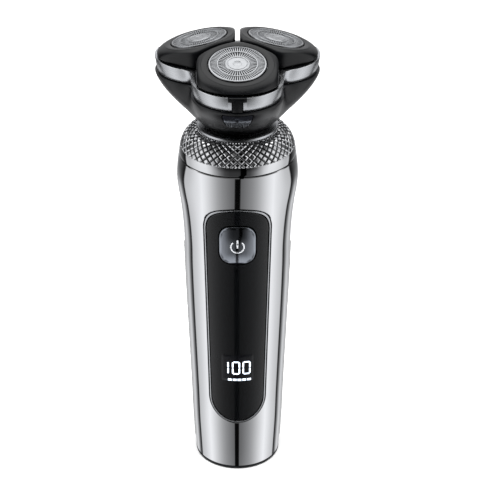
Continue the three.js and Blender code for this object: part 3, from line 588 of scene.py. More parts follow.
def soft_rubber():
    """Thermoplastic rubber over the rear shell: dull, slightly warm black with a fine powdery
    grain and paler rubbed patches."""
    return surface("Thermoplastic rubber", linear("242528"), 0.0, 0.72, (
        ("cells", 0.45, EVEN, 0.03, 0.12, 0.06),
        ("cloud", 14.0, EVEN, 0.0, 0.18, 0.1),
    ))


def acetal():
    """Natural acetal, the milky slippery plastic of small gears, with faint flow marks."""
    return surface("Natural acetal", linear("DCDAD2"), 0.0, 0.38, (
        ("cloud", 3.0, (1, 1, 4), 0.004, 0.04, 0.08),
        ("cells", 0.4, EVEN, 0.004, 0.02, 0.0),
    ), {"IOR": 1.48})


def zinc_steel():
    """Zinc plated steel of screws and motor parts, dulled by handling."""
    return surface("Zinc plated steel", linear("B4B6B8"), 1.0, 0.3, (
        ("cloud", 0.3, (1, 1, 12), 0.006, 0.06, 0.1),
        ("cloud", 2.5, EVEN, 0.0, 0.12, 0.1),
    ))


def cutter_steel():
    """Stainless cutter steel, lapped in circles on its face. The lapping lines, drawn 0.15 mm
    wide so that they show, give a grey satin with pale streaks."""
    return surface("Lapped stainless steel", linear("C3C5C8"), 1.0, 0.24, (
        ("cloud", 0.15, (6, 6, 1), 0.004, 0.08, 0.12),
        ("cloud", 1.6, EVEN, 0.0, 0.08, 0.06),
    ))


def glass_epoxy():
    """Green solder mask on woven glass epoxy board, the weave just visible at 0.6 mm."""
    return surface("Glass epoxy board", linear("1C5A38"), 0.0, 0.35, (
        ("cells", 0.6, EVEN, 0.015, 0.2, 0.1),
        ("cloud", 8.0, EVEN, 0.0, 0.1, 0.05),
    ))


def battery_wrap():
    """Blue shrink wrap on a round cell, with small lengthwise wrinkles."""
    return surface("Shrink wrapped cell", linear("2F6F9F"), 0.0, 0.32, (
        ("cloud", 1.2, (1, 1, 9), 0.03, 0.08, 0.08),
        ("cloud", 10.0, EVEN, 0.0, 0.06, 0.04),
    ))


def turned_brass():
    """Turned brass with fine lathe lines and a little tarnish."""
    return surface("Turned brass", linear("BE9450"), 1.0, 0.28, (
        ("cloud", 0.15, (20, 20, 1), 0.004, 0.08, 0.1),
        ("cloud", 2.0, EVEN, 0.0, 0.15, 0.08),
    ))


def printed_mark():
    """Pale grey pad-printed ink on the button, slightly grainy at its edges."""
    return surface("Pad printed ink", linear("D5D8DC"), 0.0, 0.4, (
        ("cloud", 0.3, EVEN, 0.002, 0.06, 0.1),
        ("cells", 0.15, EVEN, 0.0, 0.05, 0.05),
    ))


def lit_segment():
    """A lit segment of the display: a white lamp behind a pale blue diffuser, with a slightly
    uneven glow."""
    lamp = scene_colours().lamp
    return surface("Lit display segment", lamp, 0.0, 0.4, (
        ("cloud", 0.8, EVEN, 0.0, 0.06, 0.1),
        ("cloud", 0.2, EVEN, 0.001, 0.02, 0.0),
    ), {"Emission Color": lamp, "Emission Strength": 1.3})


FINISHES = {
    "chrome": polished_chrome, "satin_chrome": satin_chrome, "gloss_black": piano_black,
    "dark_chrome": black_chrome, "black_plastic": moulded_black, "rubber": soft_rubber,
    "white_plastic": acetal, "steel": zinc_steel, "cutter_steel": cutter_steel,
    "circuit_board": glass_epoxy, "battery": battery_wrap, "brass": turned_brass,
}


def scene_sizes():
    return bpy.context.scene.shaver_sizes


def scene_colours():
    return bpy.context.scene.shaver_colours


# ------------------------------------------------------------------ handle
def skin_profile(outer, inner, bottom, top, edge=0.25, ribs=0.0, pitch=4.0):
    """A closed wall that follows the handle, with rounded edges and, if asked, ribs."""
    def wall(offset, levels):
        return [(handle_radius(height) + offset, height) for height in levels]

    steps = max(int(top - bottom), 8)
    heights = [bottom + edge + (top - bottom - 2 * edge) * step / steps for step in range(steps + 1)]
    side = wall(outer, heights)
    if ribs:
        margin = 5.0                      # plain band below the first and above the last rib
        side = side[:1]
        for rib in range(int((top - bottom - 2 * margin) / pitch) + 1):
            middle = bottom + margin + rib * pitch
            for away, deep in ((-0.9, 0), (-0.5, 0.75), (-0.25, 1), (0.25, 1), (0.5, 0.75), (0.9, 0)):
                side += wall(outer - ribs * deep, [middle + away])
            side += wall(outer, [middle + pitch / 2])
        side += wall(outer, heights[-1:])
    back = wall(inner, reversed([bottom] + heights[::4] + [heights[-1], top]))
    profile = wall(outer - edge, [bottom]) + side + wall(outer - edge, [top]) + back
    return profile + [profile[0]]


def flared(piece):
    """Moves a turned skin out to the side outline of the handle, at its sides and back."""
    for vertex in piece.data.vertices:
        height = vertex.co.z / MM
        turn = math.degrees(abs(math.atan2(vertex.co.x, -vertex.co.y)))
        blend = min(max((turn - FLARE_FROM) / (FLARE_FULL - FLARE_FROM), 0), 1)
        share = outline_radius(HANDLE_SIDE, height) - handle_radius(height)
        share *= blend * blend * (3 - 2 * blend)
        reach = math.hypot(vertex.co.x, vertex.co.y) / MM
        vertex.co.x *= (reach + share) / reach
        vertex.co.y *= (reach + share) / reach
    return piece


def handle_rings(outline, steps):
    """An outline laid on the front wall; each step is (offset from the wall, growth)."""
    return [[on_handle(x, z, offset) for x, z in outline(grow)] for offset, grow in steps]


def handle_tool(name, outline, steps):
    """A solid that goes through the front wall from far in front of it."""
    rings = handle_rings(outline, steps)
    clear = [(x, -2 * HANDLE_RADIUS, z) for x, _, z in rings[0]]
    return loft(name, [clear] + rings)


class SHAVER_OT_shells(bpy.types.Operator):
    """Front shell with its panel window, rear shell and ribbed rear grip"""
    bl_idname = "shaver.shells"
    bl_label = "Shells and grip"

    def execute(self, context):
        sizes = scene_sizes()
        skin = skin_profile(0, -SHELL, SHELL_BOTTOM, SHOULDER_EDGE)
        front = keep_half(flared(lathe("shell_front", skin, 288)), SEAM - GAP / 2, True)
        carve(front, handle_tool("window", panel_outline, ((0.6, 1.85), (-0.15, 1.1), (-4.0, 1.1))))
        finished(front, "handle", "chrome", polished_chrome(), "front_shell")

        rear = keep_half(flared(lathe("shell_rear", skin, 192)), SEAM + GAP / 2, False)
        pocket = skin_profile(2.0, -0.9, GRIP_BOTTOM - GAP, GRIP_TOP + GAP, edge=0.05)
        carve(rear, flared(lathe("grip_pocket", pocket, 192)))
        finished(rear, "handle", "black_plastic", moulded_black(), "rear_shell")

        proud, edge = 0.3, 0.5
        ribbed = skin_profile(proud, -0.6, GRIP_BOTTOM, GRIP_TOP, edge=0.3,
                              ribs=sizes.rib_depth / MM, pitch=sizes.rib_pitch / MM)
        grip = keep_half(flared(lathe("grip", ribbed, 192)), SEAM + GAP / 2, False)
        # The channels run out towards the seam, so that the silhouette stays smooth.
        plain_to, full_from = 4.0, 8.0
        for vertex in grip.data.vertices:
            place = vertex.co / MM
            reach = math.hypot(place.x, place.y)
            full = outline_radius(HANDLE_SIDE, place.z) + proud
            inside_edges = GRIP_BOTTOM + edge < place.z < GRIP_TOP - edge
            if inside_edges and full - edge < reach < full and place.y < full_from:
                share = max((place.y - plain_to) / (full_from - plain_to), 0)
                wanted = full + (reach - full) * share
                vertex.co.x *= wanted / reach
                vertex.co.y *= wanted / reach
        finished(grip, "handle", "rubber", soft_rubber(), "rear_grip")
        return {"FINISHED"}


class SHAVER_OT_base_cap(bpy.types.Operator):
    """Base cap with a rounded foot edge and the opening of the charging inlet"""
    bl_idname = "shaver.base_cap"
    bl_label = "Base cap"

    def execute(self, context):
        outer = handle_radius(SHELL_BOTTOM)
        edge = [
            (outer - 0.7 * (1 - math.sin(turn)), 0.7 * (1 - math.cos(turn)))
            for turn in (math.pi / 2 * step / 8 for step in range(9))]
        spigot = outer - SHELL - GAP
        profile = [(0.05, 0.0), (spigot - 1, 0.0)] + edge + [
            (outer, 0.9), (outer - 0.1, 1.0), (spigot, 1.0), (spigot, 5.0), (spigot - 1.6, 5.0),
            (spigot - 1.6, 2.0), (0.05, 2.0)]
        cap = lathe("base", profile, 192)
        carve(cap, block("inlet", (-6.3, 6.3), (2.3, 11.3), (-1, 8), 0.8))
        for x in (4.3 - spigot, spigot - 4.3):
            carve(cap, pin("screw_way", 1.2, (-1, 8), (x, 0), "Z"))
            carve(cap, pin("screw_seat", 2.1, (-1, 1.0), (x, 0), "Z"))
        finished(cap, "handle", "black_plastic", moulded_black(), "base_cap")
        return {"FINISHED"}


class SHAVER_OT_collar(bpy.types.Operator):
    """Domed shoulder collar with a diamond knurl, and the neck ring above it"""
    bl_idname = "shaver.collar"
    bl_label = "Knurled collar"

    def execute(self, context):
        sizes = scene_sizes()
        rise, reach = COLLAR_RISE, COLLAR_OUTER - COLLAR_INNER
        cell = 8                                 # grid steps across one diamond
        rows = sizes.knurl_rows * cell // 2
        low, high = math.radians(21), math.radians(88)

        def dome(turn, deep=0.0):
            across, up = math.cos(turn) / reach, math.sin(turn) / rise
            length = math.hypot(across, up)
            return (COLLAR_INNER + reach * math.cos(turn) - deep * across / length,
                    COLLAR_BOTTOM + rise * math.sin(turn) - deep * up / length)

        band = [dome(low * (step + 1) / 9) for step in range(8)]
        knurl = [dome(low + (high - low) * row / rows) for row in range(rows + 1)]
        skirt = COLLAR_OUTER - SHELL - GAP
        top, skirt_end = COLLAR_BOTTOM + rise, COLLAR_BOTTOM - 2.4
        profile = [(COLLAR_OUTER - 0.15, COLLAR_BOTTOM), (COLLAR_OUTER, COLLAR_BOTTOM + 0.12)]
        profile += band + knurl + [
            (COLLAR_INNER, top), (COLLAR_INNER - 1.5, top), (COLLAR_INNER - 1.5, top - 1.5),
            (COLLAR_INNER, top - 1.5), (16.6, 138.4), (17.7, 135.2), (skirt - 1.1, COLLAR_BOTTOM),
            (skirt - 1.1, skirt_end), (skirt, skirt_end), (skirt, COLLAR_BOTTOM)]
        collar = lathe("collar", profile + [profile[0]], sizes.knurl_count * cell)

        def turn_of(place):
            radius, height = math.hypot(place.x, place.y) / MM, place.z / MM
            across, up = (radius - COLLAR_INNER) / reach, (height - COLLAR_BOTTOM) / rise
            return math.atan2(up, across), math.hypot(across, up)

        def from_groove(place):
            """Grid steps to the nearest of the two crossing sets of grooves."""
            column = math.atan2(place.y, place.x) * sizes.knurl_count * cell / FULL_TURN
            row = (turn_of(place)[0] - low) / (high - low) * rows + 2
            lines = ((column + row) / cell, (column - row) / cell)
            return min(abs(line - round(line)) for line in lines) * cell

        for face in collar.data.polygons:
            turn, size = turn_of(face.center)
            face.select = size > 0.97 and low < turn < high
        bpy.ops.object.mode_set(mode="EDIT")
        bpy.ops.mesh.select_mode(type="FACE")
        bpy.ops.mesh.poke()
        bpy.ops.mesh.select_mode(type="VERT")
        bpy.ops.object.mode_set(mode="OBJECT")
        for vertex in collar.data.vertices:
            turn, size = turn_of(vertex.co)
            if size < 0.97 or not low - 1e-4 < turn < high + 1e-4:
                continue
            angle = math.atan2(vertex.co.y, vertex.co.x)
            deep = sizes.knurl_depth / MM * max(1 - from_groove(vertex.co) / 1.6, 0)
            radius, height = dome(turn, deep)
            vertex.co = Vector((radius * math.cos(angle), radius * math.sin(angle), height)) * MM
        finished(collar, "handle", "chrome", polished_chrome(), "shoulder_collar", angle=22)
        collar.data.materials.append(moulded_black())    # painted shade: the groove faces get black, standing in for the shadow lines between the diamonds
        # Painted shade: faces along the grooves take the black finish in place of the shadow that falls
        # in them.
        for face in collar.data.polygons:
            turn, size = turn_of(face.center)
            if size > 0.94 and low < turn < high and from_groove(face.center) < 0.8:
                face.material_index = 1

        inner, outer, bottom, top = 10.6, 14.6, 141.2, 142.2
        ring = lathe("neck_band", [
            (inner, bottom), (outer, bottom), (outer, top - 0.45), (outer - 0.1, top - 0.22),
            (outer - 0.35, top - 0.06), (outer - 0.7, top), (inner, top), (inner, bottom)], 192)
        finished(ring, "handle", "satin_chrome", satin_chrome(), "neck_ring")
        return {"FINISHED"}


def button_outline(grow, corner):
    """The outline of the power button, grown on all sides."""
    return soft_rectangle(BUTTON_WIDTH + 2 * grow, BUTTON_HEIGHT + 2 * grow, corner, BUTTON_MIDDLE)


class SHAVER_OT_panel(bpy.types.Operator):
    """Gloss black control panel and the thin bright bezel round it"""
    bl_idname = "shaver.panel"
    bl_label = "Panel and bezel"

    def execute(self, context):
        panel = lathe("panel", skin_profile(0, -SHELL, PANEL_BOTTOM - 2, PANEL_TOP + 2), 288)
        carve(panel, handle_tool("edge", panel_outline, ((0.6, -0.75), (-0.15, 0.0), (-4.0, 0.0))),
              "INTERSECT")

        def opening(grow):
            return button_outline(BUTTON_GAP + grow, BUTTON_CORNER + grow)

        carve(panel, handle_tool("opening", opening, ((0.6, 0.7), (-0.1, 0.0), (-4.0, 0.0))))
        finished(panel, "handle", "gloss_black", piano_black(), "front_panel")

        section = ((-1.8, 0.3), (-0.1, 0.3), (0.0, 0.36), (0.05, 0.48), (0.05, 0.62), (0.0, 0.74),
                   (-0.1, 0.8), (-1.8, 0.8))
        bezel = loft("bezel", handle_rings(panel_outline, section), closed=True)
        finished(bezel, "handle", "satin_chrome", satin_chrome(), "panel_bezel")
        return {"FINISHED"}


def button_skin(x, z, top):
    """The button's face follows the handle and is crowned a little in the middle."""
    away = min(math.hypot(2 * x / BUTTON_WIDTH, 2 * (z - BUTTON_MIDDLE) / BUTTON_HEIGHT), 1.2)
    return on_handle(x, z, top + 0.8 * (1 - away * away))


class SHAVER_OT_button(bpy.types.Operator):
    """Black chrome power button with a bright rounded edge and a printed power symbol"""
    bl_idname = "shaver.button"
    bl_label = "Power button"

    def execute(self, context):
        def outline(grow):
            return button_outline(grow, BUTTON_CORNER + grow)

        def flange(grow):
            return button_outline(FLANGE_WIDTH + grow, 6.2)

        rings = handle_rings(flange, ((-2.9, 0), (-2.1, 0))) + handle_rings(
            outline, ((-2.1, 0), (0.05, 0), (0.22, -0.05), (0.36, -0.18), (0.44, -0.38)))
        edge = outline(-0.55)
        for share in (1.0, 0.92, 0.84, 0.74, 0.64, 0.52, 0.4, 0.28, 0.16, 0.05):
            rings.append([
                button_skin(x * share, BUTTON_MIDDLE + (z - BUTTON_MIDDLE) * share, 0.47)
                for x, z in edge])
        finished(loft("button", rings), "power_button", "dark_chrome", black_chrome(), "power_button")

        radius, half_stroke = 2.4, 0.24
        arc = [math.radians(132 + 276 * step / 40) for step in range(41)]
        ring = []
        for reach, turns in ((radius + half_stroke, arc), (radius - half_stroke, arc[::-1])):
            ring += [(reach * math.cos(turn), reach * math.sin(turn)) for turn in turns]
        bar = soft_rectangle(0.62, 3.3, 0.3, 1.25, 5)
        marks = []
        for index, outline_points in enumerate((ring, bar)):
            rings = [[button_skin(x, z + BUTTON_MIDDLE, top) for x, z in outline_points]
                     for top in (0.4, 0.5)]
            marks.append(loft(f"power_mark_{index}", rings))
        symbol = joined(marks[0], marks[1])
        symbol.name = symbol.data.name = "power_symbol"
        finished(symbol, "power_button", "white_plastic", printed_mark())
        return {"FINISHED"}


def segment(x, z, length, upright):
    """One segment of a digit: a bar with pointed ends."""
    half, tip = 0.29, length / 2
    points = [(-tip, 0), (half - tip, half), (tip - half, half), (tip, 0), (tip - half, -half),
              (half - tip, -half)]
    return [(x + v, z + u) if upright else (x + u, z + v) for u, v in points]


class SHAVER_OT_display(bpy.types.Operator):
    """Tinted display window with lit digits and a bar of charge marks"""
    bl_idname = "shaver.display"
    bl_label = "Charge display"

    def execute(self, context):
        def window(grow):
            side = DISPLAY_SIDE + 2 * grow
            return soft_rectangle(side, side, 0.6, DISPLAY_MIDDLE, 6)

        rings = handle_rings(window, ((-0.05, 0), (0.01, 0), (0.02, -0.02)))
        for share in (0.8, 0.6, 0.4, 0.2, 0.02):
            rings.append([on_handle(x * share, DISPLAY_MIDDLE + (z - DISPLAY_MIDDLE) * share, 0.02)
                          for x, z in window(-0.02)])
        finished(loft("display_window", rings), "handle", "gloss_black", display_glass())

        outlines = []
        half = DIGIT_HEIGHT / 4
        middle = DISPLAY_MIDDLE + 0.1
        for side in (-1, 1):
            outlines.append(segment(-3.55, middle + side * half, 2 * half - 0.12, True))
        for centre in (-0.55, 3.4):
            for side in (-1, 1):
                outlines.append(segment(centre, middle + side * 2 * half, DIGIT_WIDTH - 0.12, False))
                for x in (centre - DIGIT_WIDTH / 2, centre + DIGIT_WIDTH / 2):
                    outlines.append(segment(x, middle + side * half, 2 * half - 0.12, True))
        for bar in range(5):
            x = -3.6 + bar * 1.82
            outlines.append([(x, 42.9), (x + 1.4, 42.9), (x + 1.4, 43.8), (x, 43.8)])
        lit = []
        for index, points in enumerate(outlines):
            lit.append(loft(f"lit_{index}", [[on_handle(x, z, offset) for x, z in dense(points)]
                                             for offset in (0.0, 0.07)]))
        digits = joined(*lit)
        digits.name = digits.data.name = "display_digits"
        finished(digits, "handle", "white_plastic", lit_segment())
        return {"FINISHED"}


# ------------------------------------------------------------------ head
def latch_outline(grow):
    """The release tab: narrow and round below, wider and nearly square above."""
    low, high, tall = 3.5 + grow, 5.2 + grow, 4.9 + grow
    right = [(low - 1.4, -tall), (low - 0.4, -tall + 0.25), (low, -tall + 0.8)]
    right += straight((low + 0.25, -tall + 1.6), (high, tall - 1.2), 8)
    right += [(high, tall - 1.2), (high - 0.15, tall - 0.4), (high - 0.5, tall - 0.1),
              (high - 1.2, tall)]
    return right + [(-x, z) for x, z in reversed(right)]


def latch_tool(name, steps):
    """A solid square to the funnel's slope; each step is (height above the slope, growth)."""
    offset, radius = funnel(LATCH_MIDDLE)
    slope = math.sqrt(0.5)
    rings = []
    for out, grow in steps:
        rings.append([(a, -(offset + radius) - slope * (b + out), LATCH_MIDDLE + slope * (b - out))
                      for a, b in latch_outline(grow)])
    return loft(name, rings)


def funnel_rings(inset, bottom, top, steps):
    rings = []
    for step in range(steps + 1):
        height = bottom + (top - bottom) * step / steps
        offset, radius = funnel(height)
        rings.append(lobed_ring(height, offset, radius - inset))
    return rings


class SHAVER_OT_head_base(bpy.types.Operator):
    """Three-lobed head base that widens from the neck, with its hinge ears and release tab"""
    bl_idname = "shaver.head_base"
    bl_label = "Head base"

    def execute(self, context):
        rings = [
            round_ring(144.6, 4.55), round_ring(142.6, 4.55), round_ring(142.6, 8.35),
            round_ring(137.8, 8.35), round_ring(137.8, 10.25), round_ring(142.6, 10.25),
            round_ring(142.6, NECK_RADIUS - 0.2), round_ring(142.8, NECK_RADIUS)]
        rings += funnel_rings(0, FUNNEL_BOTTOM, HEAD_RIM - 0.3, 34)
        rings += [lobed_ring(HEAD_RIM - 0.12, LOBE_OFFSET, LOBE_RADIUS - 0.05),
                  lobed_ring(HEAD_RIM, LOBE_OFFSET, LOBE_RADIUS - 0.3)]
        rings += list(reversed(funnel_rings(1.4, 144.6, HEAD_RIM, 10)))
        base = loft("head_shell", rings, closed=True)
        carve(base, latch_tool("recess", ((3.0, 4.1), (-0.75, 0.35), (-5.0, 0.35))))
        ears = []
        for hand in (-1, 1):
            limits = sorted((hand * 2.6, hand * 5.2))
            back = HINGE_REACH + KNUCKLE_RADIUS
            front = HINGE_REACH - KNUCKLE_RADIUS
            ears.append(block("ear", limits, (HINGE_REACH - 6, back), (157.2, HEAD_RIM), 0.25))
            ears.append(block("ear", limits, (front, back), (158.5, HINGE_HEIGHT), 0.25))
            ears.append(pin("ear", KNUCKLE_RADIUS, limits, (HINGE_REACH, HINGE_HEIGHT)))
        for ear in ears:
            carve(base, ear, "UNION")
        carve(base, pin("pin_way", 1.1, (-9, 9), (HINGE_REACH, HINGE_HEIGHT)))
        finished(base, "head", "gloss_black", satin_black(), "head_base")

        skin = loft("tab", funnel_rings(0.1, 147.0, 160.0, 30)
                    + list(reversed(funnel_rings(1.75, 147.0, 160.0, 30))), closed=True)
        carve(skin, latch_tool("tab_edge", ((3.0, -3.2), (-0.3, 0.0), (-6.0, 0.0))), "INTERSECT")
        finished(skin, "release", "dark_chrome", black_chrome(), "release_button")
        return {"FINISHED"}


class SHAVER_OT_head_frame(bpy.types.Operator):
    """Black frame that carries the pods, and the three satin trim bands round it"""
    bl_idname = "shaver.head_frame"
    bl_label = "Head frame and trims"

    def execute(self, context):
        inside = LOBE_RADIUS - 1.0
        rings = [lobed_ring(FRAME_BOTTOM, LOBE_OFFSET, inside - 0.2),
                 lobed_ring(FRAME_BOTTOM + 0.2, LOBE_OFFSET, inside),
                 lobed_ring(FRAME_TOP - 0.25, LOBE_OFFSET, inside),
                 lobed_ring(FRAME_TOP, LOBE_OFFSET, inside - 0.25)]
        frame_piece = loft("pod_frame", rings)
        for angle in LOBES.values():
            place = (LOBE_OFFSET * math.cos(angle), LOBE_OFFSET * math.sin(angle))
            carve(frame_piece, pin("chamber", CHAMBER_RADIUS, (159, 167), place, "Z", 96))
        carve(frame_piece, pin("hub", LOBE_OFFSET - 1, (FRAME_TOP - 0.9, 167), (0, 0), "Z", 96))
        for angle in LOBES.values():
            reach = LOBE_OFFSET + LOBE_RADIUS - 0.2
            for width, low in ((BREAK_WIDTH, FRAME_BOTTOM), (STEP_WIDTH, TRIM_STEP + GAP)):
                side = width / 2 - GAP
                stop = block("stop", (reach - 2.4, reach), (-side, side), (low, FRAME_TOP), 0.2)
                stop.data.transform(Matrix.Rotation(angle, 4, "Z"))
                carve(frame_piece, stop, "UNION")
        ear = block("lid_ear", (-2.2, 2.2), (LOBE_OFFSET - 2, HINGE_REACH), (160.4, 163.4), 0.2)
        knuckle = pin("knuckle", KNUCKLE_RADIUS, (-2.2, 2.2), (HINGE_REACH, HINGE_HEIGHT))
        carve(frame_piece, carve(ear, knuckle, "UNION"), "UNION")
        carve(frame_piece, pin("pin_way", 1.15, (-3, 3), (HINGE_REACH, HINGE_HEIGHT)))
        tip = LOBE_OFFSET + CHAMBER_RADIUS
        tongue = block("tongue", (-2.4, 2.4), (-tip - 1.0, -tip + 2.4), (160.3, 161.8), 0.2)
        hook = block("hook", (-2.4, 2.4), (-tip + 1.3, -tip + 2.4), (157.4, 161.8), 0.2)
        carve(frame_piece, carve(tongue, hook, "UNION"), "UNION")
        finished(frame_piece, "head_lid", "gloss_black", satin_black(), "head_frame")

        top = FRAME_TOP + 0.1
        section = ((-1.2, FRAME_BOTTOM), (-0.15, FRAME_BOTTOM), (-0.04, FRAME_BOTTOM + 0.05),
                   (0, FRAME_BOTTOM + 0.16), (0, top - 0.2), (-0.05, top - 0.07), (-0.16, top),
                   (-1.2, top))
        rings = []
        for grow, z in section:
            lean = 0.85 * (top - z) / (top - FRAME_BOTTOM) if grow > -0.7 else 0.0
            rings.append(lobed_ring(z, LOBE_OFFSET, LOBE_RADIUS + grow - lean, 420))
        band = loft("trims", rings, closed=True)
        for angle in LOBES.values():
            reach = LOBE_OFFSET + LOBE_RADIUS
            for width, low in ((BREAK_WIDTH, 150), (STEP_WIDTH, TRIM_STEP)):
                tool = block("break", (reach - 3, reach + 3), (-width / 2, width / 2), (low, 175))
                tool.data.transform(Matrix.Rotation(angle, 4, "Z"))
                carve(band, tool)
        carve(band, block("ear_way", (-2.6, 2.6), (0, 40), (100, 163.8)))
        choose(band)
        bpy.ops.mesh.separate(type="LOOSE")
        trims = [piece for piece in bpy.context.selected_objects if piece.type == "MESH"]
        if len(trims) != 3:
            raise RuntimeError(f"three trim bands were expected, not {len(trims)}")
        for piece in trims:
            middle = sum((vertex.co for vertex in piece.data.vertices), Vector())
            middle /= len(piece.data.vertices)
            side = "rear" if middle.y > 0.01 else "left" if middle.x < 0 else "right"
            piece.name = piece.data.name = f"trim_{side}"
            finished(piece, "head_lid", "satin_chrome", satin_chrome(), f"trim_band_{side}")
        return {"FINISHED"}


def pod_reach(turn, radius, sink):
    """How far the pod's skin goes from the cutter's axis: the round form, softly limited by the
    flat sides towards the other pods and by the outer lobe."""
    tilt_cos, tilt_sin = math.cos(CUTTER_TILT), math.sin(CUTTER_TILT)
    ahead, aside = math.cos(turn) * tilt_cos, math.sin(turn)
    start = FACE_OFFSET + sink * tilt_sin
    limits = [radius]
    for hand in (-1, 1):
        closing = hand * aside * math.cos(SIXTY) - ahead * math.sin(SIXTY)
        if closing > 1e-3:
            limits.append((start - POD_SIDE) * math.sin(SIXTY) / closing)
    if abs(aside) > 1e-3:
        limits.append(POD_HALF_WIDTH / abs(aside))
    lead = start - LOBE_OFFSET
    square = ahead * ahead + aside * aside
    root = (lead * ahead) ** 2 - square * (lead * lead - POD_RADIUS * POD_RADIUS)
    limits.append((math.sqrt(root) - lead * ahead) / square)
    power = 26
    return sum(limit ** -power for limit in limits) ** (-1 / power)


def pod_height(turn, radius, sink):
    return (FACE_HEIGHT - radius * math.cos(turn) * math.sin(CUTTER_TILT)
            + sink * math.cos(CUTTER_TILT))


def shoulder(share):
    """The pod's side from its rim (0) to below its foot (1): (radius, depth under the face)."""
    start = math.radians(24)
    turn = start + (math.pi / 2 - start) * min(share / 0.75, 1.0)
    radius = RIM_RADIUS + 4.2 * (math.sin(turn) - math.sin(start)) / (1 - math.sin(start))
    sink = -0.12 - 3.6 * (1 - (math.cos(turn) / math.cos(start)))
    return radius, sink - 14.0 * max(share - 0.75, 0)


def pod_rings():
    """Rings of one pod about its cutter axis, from the bore over the rim to the foot and back."""
    turns = [FULL_TURN * index / 180 for index in range(180)]
    rings = []
    for radius, sink in ((10.3, -1.9), (10.3, -0.3), (10.42, -0.08), (10.6, 0.0), (12.2, 0.0),
                         (12.45, -0.03)):
        rings.append([(radius, turn, sink) for turn in turns])
    last = []
    for turn in turns:
        low, high = 0.0, 1.6
        for _ in range(30):
            middle = (low + high) / 2
            radius, sink = shoulder(middle)
            if pod_height(turn, pod_reach(turn, radius, sink), sink) > POD_BOTTOM + 0.3:
                low = middle
            else:
                high = middle
        last.append(low)
    steps = 26
    for step in range(steps + 1):
        ring = []
        for turn, end in zip(turns, last):
            radius, sink = shoulder(end * step / steps)
            ring.append((pod_reach(turn, radius, sink), turn, sink))
        rings.append(ring)

    def foot(ring, inset, height):
        lowered = []
        for radius, turn, _ in ring:
            reach = radius - inset
            sink = (height - FACE_HEIGHT + reach * math.cos(turn) * math.sin(CUTTER_TILT)) \
                / math.cos(CUTTER_TILT)
            lowered.append((reach, turn, sink))
        return lowered

    edge = rings[-1]
    rings.append(foot(edge, 0.08, POD_BOTTOM + 0.12))
    rings.append(foot(edge, 0.3, POD_BOTTOM))
    rings.append(foot([(11.5, turn, 0) for turn in turns], 0, POD_BOTTOM))
    rings.append([(11.5, turn, -1.9) for turn in turns])
    return [[(radius * math.cos(turn), radius * math.sin(turn), sink) for radius, turn, sink in ring]
            for ring in rings]


class SHAVER_OT_pods(bpy.types.Operator):
    """Three black pods with a bevelled rim round the cutter and a rounded shoulder"""
    bl_idname = "shaver.pods"
    bl_label = "Cutter pods"

    def execute(self, context):
        pod = loft("pod", pod_rings(), closed=True)
        return on_each_lobe(pod, "pod_shell", "pod", "gloss_black", satin_black(), "cutter_pod")


def slotted_track(name, inner, outer, count, open_share):
    """Bars between two tracks, modelled once and copied round the axis."""
    pitch = FULL_TURN * (inner + outer) / 2 / count
    half = pitch * (1 - open_share) / 2
    bar = block(name, (inner - 0.1, outer + 0.1), (-half, half), (-0.35, 0.2), 0.05)
    edit_all()
    copied_round(count)
    return bar


class SHAVER_OT_guards(bpy.types.Operator):
    """Three slotted cutter guards with a ringed centre cap, two slot tracks and a bright rim"""
    bl_idname = "shaver.guards"
    bl_label = "Cutter guards"

    def execute(self, context):
        sizes = scene_sizes()
        cap = lathe("cap", [
            (0.05, -0.4), (0.05, 0.3), (1.1, 0.3), (1.25, 0.24), (1.4, 0.24), (1.55, 0.32), (3.2, 0.32),
            (3.35, 0.2), (3.55, 0.2), (3.7, 0.32), (4.15, 0.32), (4.35, 0.2), (4.4, -0.4)], 96)
        track = lathe("track", [
            (6.6, -0.4), (6.6, 0.2), (6.7, 0.3), (7.0, 0.3), (7.1, 0.2), (7.1, -0.4), (6.6, -0.4)], 96)
        rim = lathe("rim", [
            (9.35, -0.4), (9.35, 0.2), (9.45, 0.28), (9.7, 0.28), (9.88, 0.2), (9.98, 0.05),
            (GUARD_RADIUS, -0.1), (GUARD_RADIUS, -2.2), (11.2, -2.2), (11.2, -3.0), (9.4, -3.0),
            (9.4, -0.4),
            (9.35, -0.4)], 128)
        inner = slotted_track("inner_slots", 4.4, 6.6, sizes.inner_slots, 0.52)
        outer = slotted_track("outer_slots", 7.1, 9.35, sizes.outer_slots, 0.5)
        guard = joined(rim, track, cap, inner, outer)
        return on_each_lobe(guard, "guard", "pod", "cutter_steel", cutter_steel(), "cutter_guard")


class SHAVER_OT_blades(bpy.types.Operator):
    """Three rotating inner cutters: a hub disc with two rings of slanted blades"""
    bl_idname = "shaver.blades"
    bl_label = "Inner cutters"

    def execute(self, context):
        disc = lathe("disc", [
            (2.3, -3.5), (2.3, -5.4), (3.4, -5.4), (3.4, -2.8), (8.4, -2.8), (8.4, -2.2), (8.2, -2.0),
            (0.3, -2.0), (0.3, -3.5), (2.3, -3.5)], 64)
        rows = []
        for inner, outer, count in ((4.5, 5.6, 12), (7.3, 8.4, 15)):
            blade = block("blade", (inner, outer), (-0.25, 0.25), (-2.1, -0.8), 0.08)
            edit_all()
            bpy.ops.transform.rotate(
                value=math.radians(25), orient_axis="X", center_override=(0, 0, -1.4 * MM))
            copied_round(count)
            rows.append(blade)
        cutter = joined(disc, *rows)
        return on_each_lobe(cutter, "blades", "cutter", "cutter_steel", cutter_steel(), "inner_cutter")


class SHAVER_OT_inner_finishes(bpy.types.Operator):
    """Real finishes for every piece of the CAD frame"""
    bl_idname = "shaver.inner_finishes"
    bl_label = "Finishes of the frame"

    def execute(self, context):
        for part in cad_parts.values():
            for holder in part.material_slots:
                holder.material = FINISHES[holder.material.name.split(".")[0]]()
        return {"FINISHED"}


